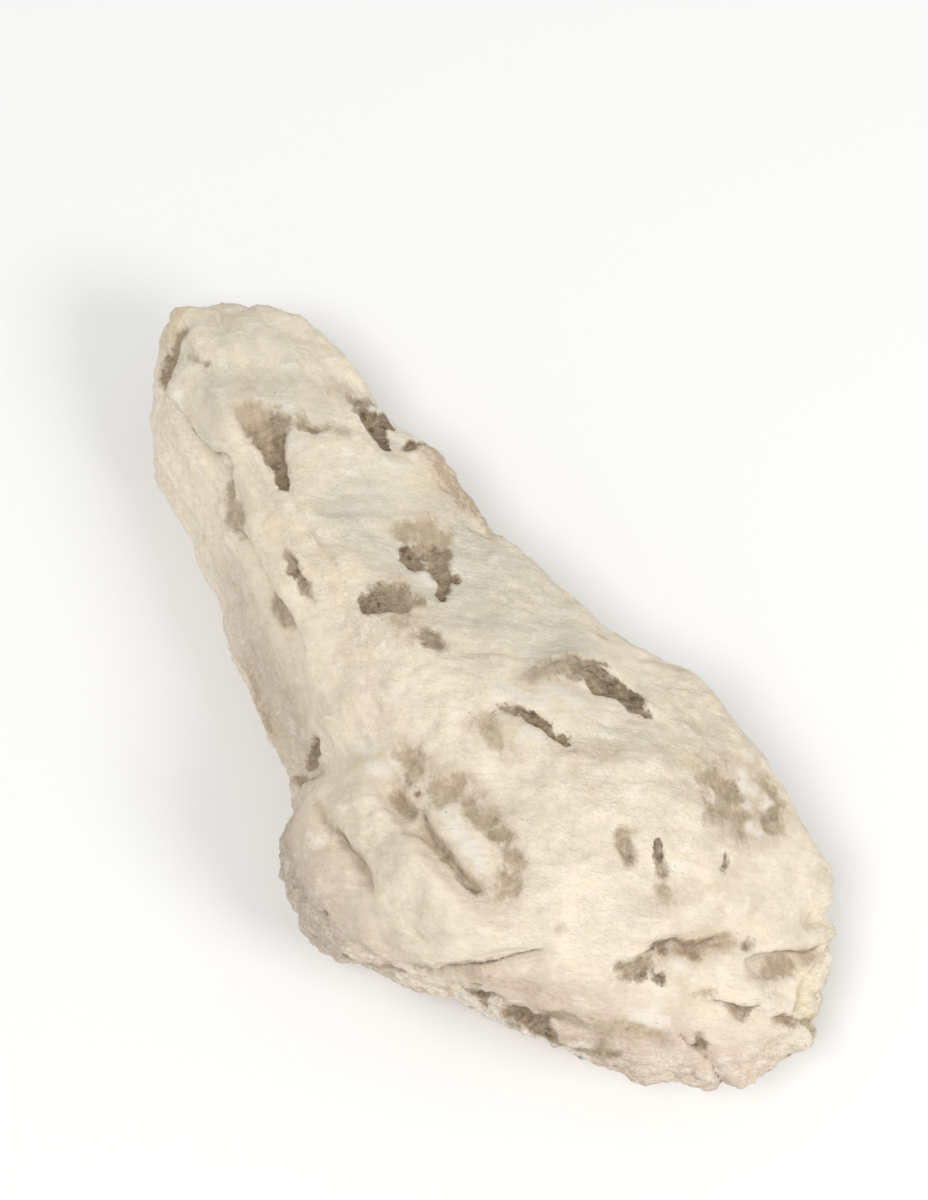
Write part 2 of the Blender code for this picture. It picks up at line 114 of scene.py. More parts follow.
# Smoky quartz grown into the feldspar, and dark grains on the low front rim that are painted
# shadow. Each grain is a chain of balls as (x, y, z, radius, smoke), where smoke 0 is pale
# and 1 is darkest.
QUARTZ = {
    "tip_vein": [
        (-54.5, 6.5, 20, 0.4, 0.5), (-54.5, 5.5, 18.5, 0.7, 0.6), (-54, 4.5, 17.5, 0.7, 0.6),
        (-53.5, 4.5, 17, 0.5, 0.55), (-54, 3.5, 15, 0.8, 0.65), (-53, 2, 14.5, 0.6, 0.6),
        (-52, 1, 15.5, 0.4, 0.55),
    ],
    "tip_spot": [(-51.5, 4.5, 20.5, 0.3, 0.35), (-50.5, 5, 21, 0.2, 0.3)],
    "tip_dot": [(-49, 5.5, 21.5, 0.2, 0.6)],
    "head_long": [
        (-40, 5.5, 23.5, 1.8, 0.22), (-38.5, 5.5, 23.5, 2.1, 0.4), (-37, 5.5, 23.5, 2.1, 0.55),
    ],
    "head_long_low": [
        (-37, 6.5, 24, 1.9, 0.6), (-35.5, 5, 23.5, 2, 0.7), (-33.5, 4.5, 23.5, 1.5, 0.75),
        (-31.5, 3.5, 24, 0.9, 0.85), (-30, 2.5, 25, 0.4, 0.9),
    ],
    "head_small": [
        (-35.5, 9.5, 24, 0.5, 0.5), (-34.5, 9.5, 24, 0.5, 0.6), (-33, 10, 24, 0.4, 0.75),
    ],
    "head_streak": [
        (-33, 11, 24, 0.4, 0.3), (-32, 12, 24.5, 0.4, 0.35), (-30.5, 13, 24.5, 0.3, 0.3),
    ],
    "edge_wedge": [
        (-34.5, 16, 23, 0.7, 0.55), (-33.5, 17, 22.5, 0.9, 0.7), (-33, 18.5, 21, 0.7, 0.6),
    ],
    "edge_wedge_broad": [
        (-31.5, 16, 23, 1.1, 0.8), (-30.5, 17, 22, 1.8, 0.85), (-30, 18.5, 21, 1.3, 0.9),
    ],
    "edge_wedge_tip": [
        (-29.5, 16.5, 22.5, 1.4, 0.85), (-28, 16, 22.5, 0.9, 0.95), (-27, 15.5, 23, 0.4, 0.95),
    ],
    "edge_small": [
        (-25.5, 17.5, 22.5, 0.4, 0.7), (-25.5, 18.5, 22, 0.6, 0.85), (-25.5, 19.5, 21, 0.5, 0.8),
    ],
    "neck_drop": [
        (-36, -0.5, 21.5, 0.2, 0.45), (-35.5, -1.5, 19, 0.5, 0.4), (-34, -2, 18.5, 0.9, 0.38),
        (-32.5, -3, 19, 1.3, 0.38), (-31, -3.5, 19.5, 0.9, 0.4), (-30, -4, 20, 0.4, 0.4),
    ],
    "low_sliver": [
        (-20.5, -6.5, 22, 0.5, 0.4), (-19, -6.5, 22, 0.9, 0.45), (-17.5, -7, 22, 0.8, 0.45),
        (-16, -7, 22.5, 0.5, 0.4),
    ],
    "long_sliver": [
        (-23, -2.5, 24.5, 0.4, 0.5), (-21.5, -2.5, 25, 0.6, 0.7), (-20, -3, 25, 0.6, 0.9),
        (-19, -3, 25, 0.6, 0.85), (-17.5, -3.5, 25, 0.4, 0.5), (-16, -3.5, 25, 0.2, 0.4),
    ],
    "twin_upper_pale": [
        (-16.5, 10.5, 25, 1.5, 0.33), (-15, 12, 25, 1.8, 0.33), (-13, 13, 24.5, 1.4, 0.36),
    ],
    "twin_upper": [
        (-14, 9, 25.5, 1.1, 0.8), (-12.5, 10.5, 25, 1.2, 0.7), (-11.5, 12, 25, 1.2, 0.7),
    ],
    "twin_upper_left": [
        (-13, 8.5, 25.5, 0.9, 0.85), (-11.5, 9, 25.5, 0.8, 0.8), (-10.5, 9.5, 25.5, 0.7, 0.7),
    ],
    "twin_upper_low": [
        (-10.5, 10.5, 25.5, 1.4, 0.7), (-9, 10, 25.5, 1.2, 0.75), (-7.5, 9, 26.5, 0.8, 0.9),
        (-6.5, 8, 27.5, 0.5, 0.95),
    ],
    "twin_upper_dot": [(-8, 11, 26, 0.3, 0.9), (-7.5, 11, 26, 0.4, 0.9)],
    "twin_lower": [
        (-11, 1, 28, 1.2, 0.8), (-10.5, 2.5, 28, 1.9, 0.65), (-9.5, 4, 27.5, 1.9, 0.6),
        (-8.5, 5, 27.5, 1.3, 0.45),
    ],
    "twin_tail": [(-3.5, 3, 29.5, 0.7, 0.5), (-2.5, 3.5, 30, 1.1, 0.65), (-1, 3.5, 30, 0.7, 0.6)],
    "twin_tail_left": [(-7.5, 1.5, 29.5, 0.6, 0.2), (-6, 2, 29.5, 0.6, 0.22)],
    "crest_lens": [
        (11, 15, 30.5, 1.6, 0.6), (13, 16, 30, 2.1, 0.8), (15, 16, 30, 2, 0.88),
        (16.5, 17, 30, 1.6, 0.88), (18.5, 17, 31, 1.2, 0.92), (20, 17, 31, 0.6, 0.9),
    ],
    "crest_haze": [
        (8.5, 10, 31.5, 1.2, 0.3), (8.5, 11.5, 30.5, 1.4, 0.32), (9, 13.5, 30.5, 1.4, 0.38),
        (10, 14.5, 30.5, 1.5, 0.5),
    ],
    "dark_stroke": [
        (9, 3.5, 32, 0.1, 0.6), (10, 4.5, 32, 0.2, 0.7), (11.5, 5.5, 32.5, 0.4, 0.8),
        (13, 6, 32.5, 0.5, 0.85), (14.5, 6.5, 33, 0.6, 0.9), (16, 6.5, 33, 0.4, 0.9),
        (18, 7, 33.5, 0.5, 1),
    ],
    "stroke_foot": [(9.5, 2, 32, 0.9, 0.25), (11, 1.5, 32, 0.9, 0.28), (13, 1, 32.5, 0.5, 0.3)],
    "far_spot": [(8, 20.5, 24.5, 0.5, 0.3)],
    "corner_mid": [
        (30, 17.5, 30, 0.8, 0.38), (30.5, 18.5, 29, 1.1, 0.45), (31.5, 19, 28, 0.9, 0.4),
        (33, 19.5, 27.5, 1.5, 0.52), (34, 20, 27, 0.9, 0.48),
    ],
    "corner_low": [(34, 15, 31, 0.7, 0.3), (34, 16.5, 29.5, 1.1, 0.38), (34.5, 18, 28, 0.9, 0.3)],
    "corner_web": [
        (35.5, 19.5, 27.5, 0.7, 0.36), (36.5, 17.5, 28.5, 0.7, 0.36), (38, 17, 29, 0.5, 0.42),
    ],
    "corner_edge": [(33.5, 24, 25, 0.8, 0.36), (35, 24, 25, 0.7, 0.48), (36.5, 24, 24.5, 0.5, 0.4)],
    "corner_edge_low": [
        (37.5, 21, 26, 0.7, 0.55), (37, 22.5, 25, 0.8, 0.5), (38.5, 20.5, 26.5, 0.6, 0.5),
        (39, 22, 25, 0.7, 0.3),
    ],
    "slot_broad": [(30.5, 5, 34, 0.7, 0.48), (32, 4.5, 34, 0.8, 0.5), (33.5, 4, 34, 0.6, 0.6)],
    "slot_head": [(31, 6.5, 34, 0.3, 0.3), (30.5, 5.5, 34, 0.4, 0.35)],
    "slot_long": [
        (33.5, 8, 33.5, 0.3, 0.95), (34.5, 7.5, 33.5, 0.5, 0.95), (35, 7, 33, 0.5, 0.9),
        (36, 6.5, 33, 0.4, 0.6), (37, 6, 33, 0.6, 0.65),
    ],
    "slot_foot": [(38, 5, 32.5, 0.7, 0.5), (39, 5, 32.5, 0.9, 0.3)],
    "slot_thin": [(39, 14, 30, 0.2, 0.75), (39.5, 13.5, 30, 0.2, 0.8), (40, 12.5, 30, 0.2, 0.85)],
    "plate_groove": [
        (9.5, -11, 27, 0.8, 0.45), (11, -11, 27.5, 0.8, 0.45), (12.5, -11, 28.5, 0.6, 0.45),
    ],
    "plate_groove_mid": [
        (15, -11, 29.5, 0.4, 0.3), (16.5, -11.5, 29.5, 0.7, 0.34), (18, -11.5, 30, 0.6, 0.36),
    ],
    "plate_groove_low": [
        (19, -11.5, 30.5, 0.2, 0.6), (20, -11.5, 30.5, 0.3, 0.65), (21, -11.5, 30.5, 0.3, 0.6),
        (22.5, -11.5, 30.5, 0.3, 0.65), (23.5, -11.5, 31, 0.2, 0.45),
        (25.5, -11.5, 31.5, 0.2, 0.4),
    ],
    "plate_dot": [(11, -9.5, 29.5, 0.4, 0.75), (11.5, -9, 29.5, 0.5, 0.8)],
    "plate_top": [
        (6, -7.5, 28.5, 0.9, 0.36), (7.5, -7, 29, 1.1, 0.36), (8.5, -7.5, 29, 0.9, 0.34),
        (9, -9, 29, 0.7, 0.36),
    ],
    "plate_side": [
        (12.5, -7.5, 30, 1.1, 0.28), (13.5, -6, 30.5, 1.2, 0.38), (13.5, -5, 30.5, 0.9, 0.38),
        (14, -8, 30.5, 0.8, 0.36),
    ],
    "plate_side_low": [
        (16, -5.5, 31, 0.5, 0.42), (17.5, -6, 31.5, 0.9, 0.36), (19, -6, 31.5, 0.8, 0.4),
        (19.5, -5, 32, 0.8, 0.34),
    ],
    "plate_bend": [
        (21, -6, 32, 0.7, 0.55), (21.5, -5.5, 32.5, 0.9, 0.45), (22.5, -5, 32.5, 0.8, 0.38),
    ],
    "plate_foot": [
        (25.5, -8, 33, 0.7, 0.48), (26.5, -8, 32.5, 0.8, 0.4), (27.5, -8, 32.5, 0.7, 0.34),
        (27, -9.5, 32.5, 0.8, 0.34),
    ],
    "plate_right": [
        (23.5, -6, 32.5, 0.5, 0.38), (24.5, -6, 32.5, 0.6, 0.36), (26, -6, 33, 0.8, 0.28),
    ],
    "notch_stroke": [
        (-4, -12.5, 18.5, 0.4, 0.7), (-3.5, -13, 16.5, 0.7, 0.8), (-3, -14, 15.5, 0.8, 0.8),
        (-3, -14.5, 15, 0.6, 0.7),
    ],
    "notch_foot": [
        (-1, -14.5, 17, 0.7, 0.35), (-1.5, -16, 15.5, 0.6, 0.45), (-3, -16, 13, 0.5, 0.6),
    ],
    "boss_groove": [
        (3.5, -18, 23, 0.4, 0.22), (7, -18.5, 23.5, 0.5, 0.28), (8.5, -18.5, 24.5, 0.5, 0.28),
        (11.5, -18.5, 25, 0.3, 0.3), (13.5, -18.5, 25, 0.2, 0.3), (15.5, -19.5, 25.5, 0.1, 0.25),
    ],
    "boss_dot": [(13.5, -24.5, 19, 0.2, 0.65)],
    "front_fleck": [(41.5, -3.5, 28.5, 0.6, 0.6), (42, -2.5, 27.5, 0.6, 0.5)],
    "front_fleck_low": [
        (42.5, -3.5, 27, 0.6, 0.6), (43, -2, 27.5, 0.8, 0.65), (42.5, -1, 28, 0.6, 0.65),
        (42.5, 0, 28.5, 0.4, 0.55),
    ],
    "front_dot": [(43.5, -1, 27.5, 0.4, 0.8), (45, -1, 27.5, 0.6, 0.9), (45, -0.5, 28, 0.4, 0.8)],
    "front_line": [
        (43, 1, 29, 0.4, 0.75), (42.5, 1.5, 29, 0.5, 0.75), (42.5, 2.5, 29, 0.4, 0.75),
        (43, 3.5, 29, 0.3, 0.65),
    ],
    "front_line_mid": [
        (44, 3.5, 28.5, 0.8, 0.38), (44.5, 4.5, 28.5, 0.6, 0.7), (45.5, 4, 28.5, 0.6, 0.5),
    ],
    "front_line_end": [
        (45, 6, 28, 0.5, 0.4), (45.5, 7, 28, 0.5, 0.38), (46.5, 8.5, 27.5, 0.7, 0.35),
    ],
    "front_spot": [(48, 9, 27, 0.3, 0.5), (48, 10, 26.5, 0.4, 0.6)],
    "front_corner": [
        (51.5, 10, 23.5, 0.7, 0.3), (51.5, 11.5, 22.5, 1.1, 0.36), (51.5, 13, 21.5, 1.2, 0.38),
    ],
    "front_corner_up": [(52, 15.5, 20.5, 0.5, 0.28), (52.5, 17, 20, 0.5, 0.3)],
    "lip_spot": [
        (51.5, 4, 24, 0.2, 0.5), (52, 4.5, 23.5, 0.2, 0.5), (53, 5, 23, 0.6, 0.6),
        (53.5, 5.5, 23, 0.8, 0.75), (53.5, 6.5, 23, 0.3, 0.6),
    ],
    "lip_dot": [(49, 2, 26, 0.4, 0.35), (49.5, 3, 26, 0.5, 0.35)],
    "lip_end": [(55.5, 8.5, 20, 0.4, 0.5), (56.5, 9.5, 19, 0.5, 0.5), (56.5, 10, 18.5, 0.4, 0.45)],
    "lip_end_low": [
        (57.5, 11, 18, 0.5, 0.5), (58, 12, 17.5, 0.4, 0.4), (58.5, 11.5, 16.5, 0.3, 0.6),
    ],
    "foot_spot": [(52, -0.5, 22, 0.5, 0.6), (53, -0.5, 21, 0.6, 0.75), (53, -1, 20.5, 0.5, 0.7)],
    "mid_tan": [(34.5, -7, 32, 0.5, 0.2)],
    "front_band": [
        (31, -17, 15.5, 0.6, 0.7), (32, -16, 16, 0.9, 0.85), (34, -15.5, 20.5, 0.7, 0.7),
    ],
    "front_band_mid": [
        (35, -15, 15.5, 0.6, 0.6), (35.5, -14, 16, 0.9, 0.85), (37, -13.5, 16.5, 0.9, 0.8),
    ],
    "front_band_line": [
        (38, -13, 17, 0.8, 0.65), (40, -12.5, 22.5, 0.8, 0.6), (41.5, -11, 23, 0.8, 0.5),
        (43, -10.5, 22.5, 0.8, 0.45), (44, -9.5, 22, 0.9, 0.4), (45.5, -8, 22.5, 0.9, 0.36),
    ],
    "front_band_tan": [
        (46, -7, 23, 0.9, 0.34), (47.5, -5.5, 22.5, 0.9, 0.3), (49.5, -3.5, 21.5, 0.8, 0.3),
    ],
    "front_band_foot": [
        (38.5, -14, 16, 0.7, 0.65), (40, -13, 16.5, 0.8, 0.8), (41, -13, 17, 0.6, 0.7),
    ],
    # Painted shadow: these dark grains along the low front rim stand for the shade beneath it.
    "shadow_under": [(31, -17, 15, 0.5, 0.55), (32.5, -16, 15, 0.6, 0.55)],
    "shadow_under_mid": [(35, -16, 14, 0.6, 0.5), (37, -15, 15, 0.6, 0.5)],
    "shadow_under_low": [
        (40, -13.5, 15.5, 0.6, 0.6), (42, -13, 16.5, 0.5, 0.6), (44, -11.5, 16.5, 0.5, 0.45),
    ],
    "front_band_low": [
        (43.5, -11.5, 16.5, 0.7, 0.8), (45, -10.5, 16.5, 0.6, 0.6), (45.5, -9.5, 17.5, 0.6, 0.6),
        (47, -8.5, 18, 0.5, 0.5),
    ],
    "boss_foot": [(18, -25, 14, 0.5, 0.5), (22, -22.5, 15, 0.5, 0.5), (23.5, -21.5, 16, 0.6, 0.5)],
    "boss_foot_spot": [(26, -20, 19.5, 0.7, 0.45), (26.5, -19, 20, 0.6, 0.4)],
    "front_left_tan": [
        (28, -18, 22, 0.3, 0.4), (30, -16.5, 26, 0.3, 0.4), (31.5, -14.5, 27, 0.3, 0.4),
    ],
    "front_left_foot": [(31, -17, 21, 0.2, 0.6), (32, -16.5, 22.5, 0.2, 0.6)],
}

# Quartz that lies just under the feldspar and only dulls it, as balls with a strength.
VEILS = {
    "head_top": [(-43, 6.5, 23, 1.2, 0.5)],
    "head_left": [(-40.5, 5, 23.5, 1.5, 0.75), (-38, 4.5, 23.5, 1.6, 0.75)],
    "wedge_lead": [(-37, 14.5, 23.5, 0.8, 0.5), (-35.5, 16, 23, 1.1, 0.7)],
    "twin_tail_left": [(-7.5, 2, 29, 1.2, 0.6), (-5, 2, 29.5, 1.1, 0.6), (-3.5, 1.5, 30, 0.9, 0.5)],
    "twin_around": [
        (-11.5, 5.5, 27, 1.5, 0.45), (-6.5, 3.5, 29, 1.6, 0.55), (-6, 5, 28.5, 1.2, 0.4),
    ],
    "twin_top": [(-16.5, 10.5, 25, 1.2, 0.5), (-16, 13, 24.5, 1.6, 0.6), (-14, 14, 24.5, 1.2, 0.5)],
    "crest_left": [(9, 9.5, 31.5, 1.6, 0.6), (10.5, 11, 31.5, 1.6, 0.6), (12, 12, 31, 1.1, 0.4)],
    "stroke_under": [(14, 1.5, 33, 1.2, 0.55), (15.5, 1.5, 33, 1.1, 0.5)],
    "stroke_right": [(20, 7, 34.5, 1.4, 0.45), (22, 10.5, 33.5, 1.4, 0.45)],
    "stroke_left": [(9.5, 1, 31.5, 1.4, 0.55), (12, 1.5, 32.5, 1.2, 0.6)],
    "corner_lead": [
        (25, 16, 31.5, 0.8, 0.25), (28.5, 14, 32.5, 1.1, 0.35), (31, 15, 31.5, 1.1, 0.35),
    ],
    "corner_top": [(29, 18, 30, 1.6, 0.6), (30, 21, 28, 1.6, 0.6), (32.5, 23.5, 25.5, 1.4, 0.6)],
    "corner_all": [
        (32.5, 16.5, 30, 1.9, 0.6), (34.5, 18.5, 28, 2.6, 0.7), (35.5, 23, 25, 1.9, 0.7),
        (38, 22.5, 25, 1.4, 0.6),
    ],
    "corner_low": [(36, 15.5, 30, 1.6, 0.5), (38, 16.5, 29, 1.4, 0.5), (39.5, 20, 26.5, 1.4, 0.5)],
    "notch_grey": [(2, -10.5, 25, 1.4, 0.45), (5.5, -10.5, 27.5, 1.4, 0.5)],
    "edge_tan": [
        (-23.5, 20, 21.5, 1.5, 0.9), (-19.5, 19.5, 21, 1.8, 0.95), (-16, 19, 21.5, 1.8, 1),
        (-13.5, 20, 20.5, 1.4, 0.9), (-10.5, 19, 22, 0.9, 0.6),
    ],
    "plate_ring": [
        (6, -7, 28.5, 1.4, 0.7), (8.5, -7, 29, 1.6, 0.6), (11.5, -6.5, 30, 1.6, 0.65),
        (14, -5, 30.5, 1.9, 0.65), (16.5, -4, 31.5, 1.2, 0.5),
    ],
    "plate_left": [
        (8.5, -10.5, 27.5, 1.4, 0.45), (10.5, -10.5, 27.5, 1.1, 0.5), (13, -11, 29, 0.7, 0.5),
    ],
    "plate_right": [
        (18.5, -4.5, 32, 1.4, 0.55), (22, -5, 32.5, 1.5, 0.6), (25, -6, 32.5, 1.4, 0.5),
        (27, -8, 32.5, 1.5, 0.7), (27.5, -10, 32.5, 1.4, 0.6), (26, -11, 32, 0.9, 0.5),
    ],
    "boss_edge": [(4, -23, 17, 1.4, 0.45), (7, -24.5, 16, 1.4, 0.4), (0, -20, 12.5, 1.2, 0.4)],
    "front_brown": [(51.5, 11, 23, 1.3, 0.6), (51.5, 13, 21.5, 1.4, 0.6), (52, 16.5, 20, 0.9, 0.4)],
    "band_above": [
        (30.5, -17, 24, 1.2, 0.6), (33, -15.5, 25, 1.4, 0.6), (35, -13.5, 24.5, 1.6, 0.6),
        (37.5, -12, 25.5, 1.6, 0.6), (39.5, -10.5, 25, 1.5, 0.5),
    ],
    "band_below": [
        (38.5, -13, 23, 1.4, 0.6), (44, -8.5, 23.5, 1.4, 0.7), (47.5, -5.5, 22, 1.4, 0.6),
        (50.5, -3, 21.5, 1.1, 0.5),
    ],
    "band_foot": [
        (42.5, -11.5, 17.5, 1.4, 0.7), (45.5, -9.5, 17.5, 1.2, 0.7), (48, -8.5, 17.5, 0.9, 0.5),
    ],
    "front_line_low": [(43.5, 1, 29, 1.4, 0.5), (45, 3.5, 28.5, 1.4, 0.5), (46, 7, 27.5, 0.9, 0.4)],
    "front_tan": [(49, -4.5, 21.5, 1.4, 0.35), (48.5, 1, 25, 1.6, 0.25), (46.5, 1, 28, 1.2, 0.4)],
    "front_left": [(26, -19.5, 20, 1.4, 0.6), (28, -17.5, 23, 0.9, 0.4)],
    # flank_edge only darkens a band along the flank's lower edge.
    "flank_edge": [
        (-17.5, -12, 12.5, 1.2, 0.8), (-14, -13.5, 12, 1.2, 0.9), (-10, -14.5, 12.5, 1.1, 0.8),
    ],
    "slot_foot": [(39, 5, 32, 1.2, 0.45), (41.5, 12, 29.5, 0.7, 0.3), (40, 16.5, 28.5, 0.9, 0.3)],
    "slot_broad": [(32, 4.5, 34, 1.1, 0.5)],
}

# Cracks and the sharp lips of ledges. Each has a depth, how far it reaches to the left and
# to the right of its route, how dark its line is, partly its own dark and partly painted
# shade, and the route.
CRACKS = {
    "flank_upper": (0.9, 0.5, 1.6, 0.9, [
        (-46.5, 0, 18), (-45, -0.5, 18), (-42, -0.5, 18.5), (-40, -0.5, 19), (-38.5, 0, 22),
        (-37.5, 0, 22.5), (-36.5, -0.5, 22), (-36, -1, 19),
    ]),
    "flank_lower": (0.9, 0.5, 2.2, 0.8, [
        (-30.5, -4, 19.5), (-29, -4, 20), (-27, -4.5, 21), (-25, -5, 21), (-22.5, -5.5, 21.5),
        (-20.5, -6, 22),
    ]),
    "flank_foot": (0.7, 0.5, 1.8, 0.6, [
        (-18, -6, 22.5), (-16, -6.5, 23), (-14.5, -7, 23.5), (-12.5, -8, 24),
    ]),
    "tip": (0.7, 0.5, 1.2, 0.6, [(-52, 0, 15), (-52, 1, 15.5), (-49.5, 0.5, 17.5), (-46.5, 0, 18)]),
    "crest": (0.35, 0.5, 2.4, 0.2, [
        (8, 11.5, 30.5), (8, 13.5, 30), (10, 15, 30.5), (12, 16.5, 29.5), (14.5, 17.5, 29),
        (19, 17.5, 30.5),
    ]),
    "stroke_left": (0.5, 0.5, 0.5, 0.9, [(9.5, 3, 31.5), (9, 4, 32), (9.5, 5, 32), (11, 5, 32.5)]),
    "boss_line": (0.8, 0.5, 1.6, 0.9, [
        (8.5, -18.5, 24.5), (11.5, -18.5, 24.5), (14, -18.5, 25), (16, -19.5, 25.5),
    ]),
    "front_left": (1.1, 0.5, 2.4, 1, [
        (26, -20, 19), (27, -19, 20), (30.5, -16.5, 25.5), (32.5, -13.5, 27.5),
        (34.5, -10.5, 30),
    ]),
    "front_upper": (1.1, 0.5, 2.6, 1, [(42.5, 1, 29), (43, 3, 29), (44.5, 4, 28.5), (45.5, 7, 28)]),
    "ledge_right": (1.1, 0.5, 2.6, 1, [
        (49, 9.5, 25.5), (50.5, 13, 23), (52, 16.5, 20), (52, 18, 19.5),
    ]),
    "lip": (0.8, 0.5, 1.8, 0.9, [(50.5, 3, 24.5), (51.5, 4.5, 24), (53, 5, 23)]),
    "lip_end": (0.8, 0.5, 1.6, 0.8, [(55.5, 8.5, 20), (56.5, 10, 19), (58, 12, 17)]),
    "plate_edge": (0.9, 1.4, 0.5, 0.9, [
        (13.5, -10.5, 29.5), (15, -11, 29.5), (17, -11.5, 30), (19, -11.5, 30.5),
        (21, -11.5, 30.5), (23, -12, 30.5), (25, -11.5, 31.5),
    ]),
    "ridge": (0.6, 0.5, 1.8, 0.3, [
        (-29, 2.5, 25.5), (-25, 1.5, 26.5), (-21, 1, 26.5), (-18, 1, 27),
    ]),
}

# Bruised, whitened feldspar.
FROST = {
    "band_lip": [
        (30, -17.5, 14.5), (33.5, -16, 14.5), (36, -15.5, 14), (38, -14.5, 15),
        (44.5, -11, 14.5),
    ],
    "twin_band": [(-10.5, 8.5, 25.5), (-9, 8.5, 26)],
    "wedge_chip": [(-32.5, 18, 21.5), (-31.5, 17.5, 22)],
    "wedge_side": [(-29.5, 19, 20.5), (-28, 18.5, 21), (-27, 17.5, 22)],
    "wedge_right": [(-27, 19.5, 20.5), (-26.5, 19.5, 20.5)],
    "crest_white": [(11, 9.5, 32), (12.5, 11, 32), (14.5, 11.5, 32.5)],
    "stroke_white": [(14, 4, 33.5), (15.5, 5, 33.5)],
    "plate": [(15.5, -8.5, 31), (19.5, -9, 32), (23, -9.5, 32.5)],
    "corner_bits": [(31.5, 22, 26.5), (33, 21.5, 26.5), (34, 22, 26)],
    "corner_bits_mid": [(35, 20, 27)],
    "corner_bits_right": [(35.5, 23, 25), (36.5, 22, 25.5)],
    "corner_bits_low": [(37.5, 18.5, 27.5), (38.5, 19, 27.5)],
    "head_notch": [(-34, 6.5, 24), (-33, 7, 24.5)],
    "notch_white": [(1, -10.5, 25), (3.5, -9.5, 26.5)],
    "notch_white_low": [(4.5, -11, 27), (6.5, -10, 27.5)],
    "above_stroke": [(8, 5.5, 32), (12, 8, 32.5)],
    "front_white": [(44.5, 1, 28.5), (45.5, 2, 28.5)],
    "front_low_white": [(46.5, -4.5, 24), (48.5, -2.5, 23.5)],
    "band_white": [(33, -16, 15.5), (34, -16, 15)],
    "band_white_mid": [(38, -14.5, 15)],
    "band_white_low": [(42.5, -12.5, 16), (44, -10.5, 17.5)],
}

# Broad tones as balls: the cool upper face, the rosy front, the yellower patches, painted
# shade in a pinkish grey on the feet and the boss side, and painted light on the flank.
COOL = {
    "upper_face": [(-22, 9, 25, 6.5, 1), (-8, 12, 26, 7.5, 1), (4, 15, 27, 6, 0.9)],
    "below_crest": [(20, 13, 33, 4, 0.5), (30, 16, 30, 4, 0.4)],
    "head": [(-46, 9, 22, 7, 0.75), (-36, 11, 23, 5, 0.75)],
}
ROSY = {
    "front": [(34, -14, 20, 7, 0.9), (44, -8, 18, 7, 1), (54, 0, 15, 7, 1)],
    "boss": [(13, -25, 19, 6.5, 1), (4, -23, 17, 5, 1), (24, -24, 19, 5, 0.8)],
    "middle": [(-8, -3, 27, 4, 0.4), (0, -6, 27, 4, 0.4)],
}
YELLOW = {
    "tip": [(-57, 6, 19, 2.2, 1), (-56, 4, 16, 1.8, 0.9)],
    "edge": [(-20, 17, 23, 2.5, 0.45)],
    "far_edge": [(-16, 19.5, 21, 2, 0.5)],
    "corner_foot": [(56, 13, 17, 3, 0.5)],
    "middle": [(-27, -2, 25, 2.5, 0.4), (-15, 0, 27, 3, 0.35)],
    "below_stroke": [(13, 2.5, 32.5, 0.8, 0.9)],
    "corner": [(27, 18, 30, 2.5, 0.6)],
}
# Painted shade, in a pinkish grey, on the low sides and the boss that turn away from the light.
DUSK_SHADE = {
    "flank_foot": [(-28, -8, 15, 3.5, 0.6), (-16, -12, 15, 4, 0.9), (-6, -15, 15, 3, 0.9)],
    "boss_side": [(3, -22, 14, 5, 1), (10, -26, 15, 5, 1), (20, -24, 14, 4, 0.8)],
    "tip": [(-58, 4, 12, 3, 0.5)],
    "boss_left": [(15, -24, 21, 5, 0.35), (8, -23, 19, 5, 0.45)],
}
# Painted light: paler feldspar on the flank, the notch wall and other faces that the lamps leave in
# shade.
PAINTED_LIGHT = {
    "flank": [(-52, 0, 16, 6, 1), (-44, -3, 15, 7, 1), (-36, -5, 14, 7, 1), (-26, -8, 14, 7, 1)],
    "notch": [(0, -12, 21, 3.5, 1)],
    "ridge": [(-24, -2, 25, 2.5, 0.6), (-14, -4, 26, 2.5, 0.4)],
    "middle": [(-4, -3, 28, 4, 0.6), (4, -3, 29, 4, 0.5)],
    "below_stroke": [(17, 0, 33, 3, 0.6)],
}

# Every tone with its soft edge in millimetres, and the veils' edge.
ZONES = {
    "cool": (COOL, 4.0),
    "rosy": (ROSY, 4.0),
    "yellow": (YELLOW, 1.4),
    "dusk_shade": (DUSK_SHADE, 3.5),
    "painted_light": (PAINTED_LIGHT, 3.0),
}
VEIL_EDGE = 1.6

# Marks for the sides that the lists leave bare. A side is hidden where its normal turns
# away from the camera by more than this.
HIDDEN_SEED = 11
HIDDEN_GRAINS = 46
HIDDEN_CRACKS = 16
HIDDEN_BELOW = -0.02
WALK_BEND = 0.25
GRAIN_GIRTHS = (0.35, 1.7)
GRAIN_SMOKES = (0.2, 0.95)
GRAIN_STRIDES = (0.8, 1.9)
VEIL_WIDER = 1.3
VEIL_STRENGTH = 0.55
CRACK_DEPTHS = (0.4, 1.0)
CRACK_LEFT = 0.5
CRACK_REACHES = (0.8, 2.4)
CRACK_SHADES = (0.3, 1.0)
CRACK_STRIDE = 1.6
CRACK_STRIDES = (4, 10)


def smooth_step(x):
    x = np.clip(x, 0.0, 1.0)
    return x * x * (3.0 - 2.0 * x)


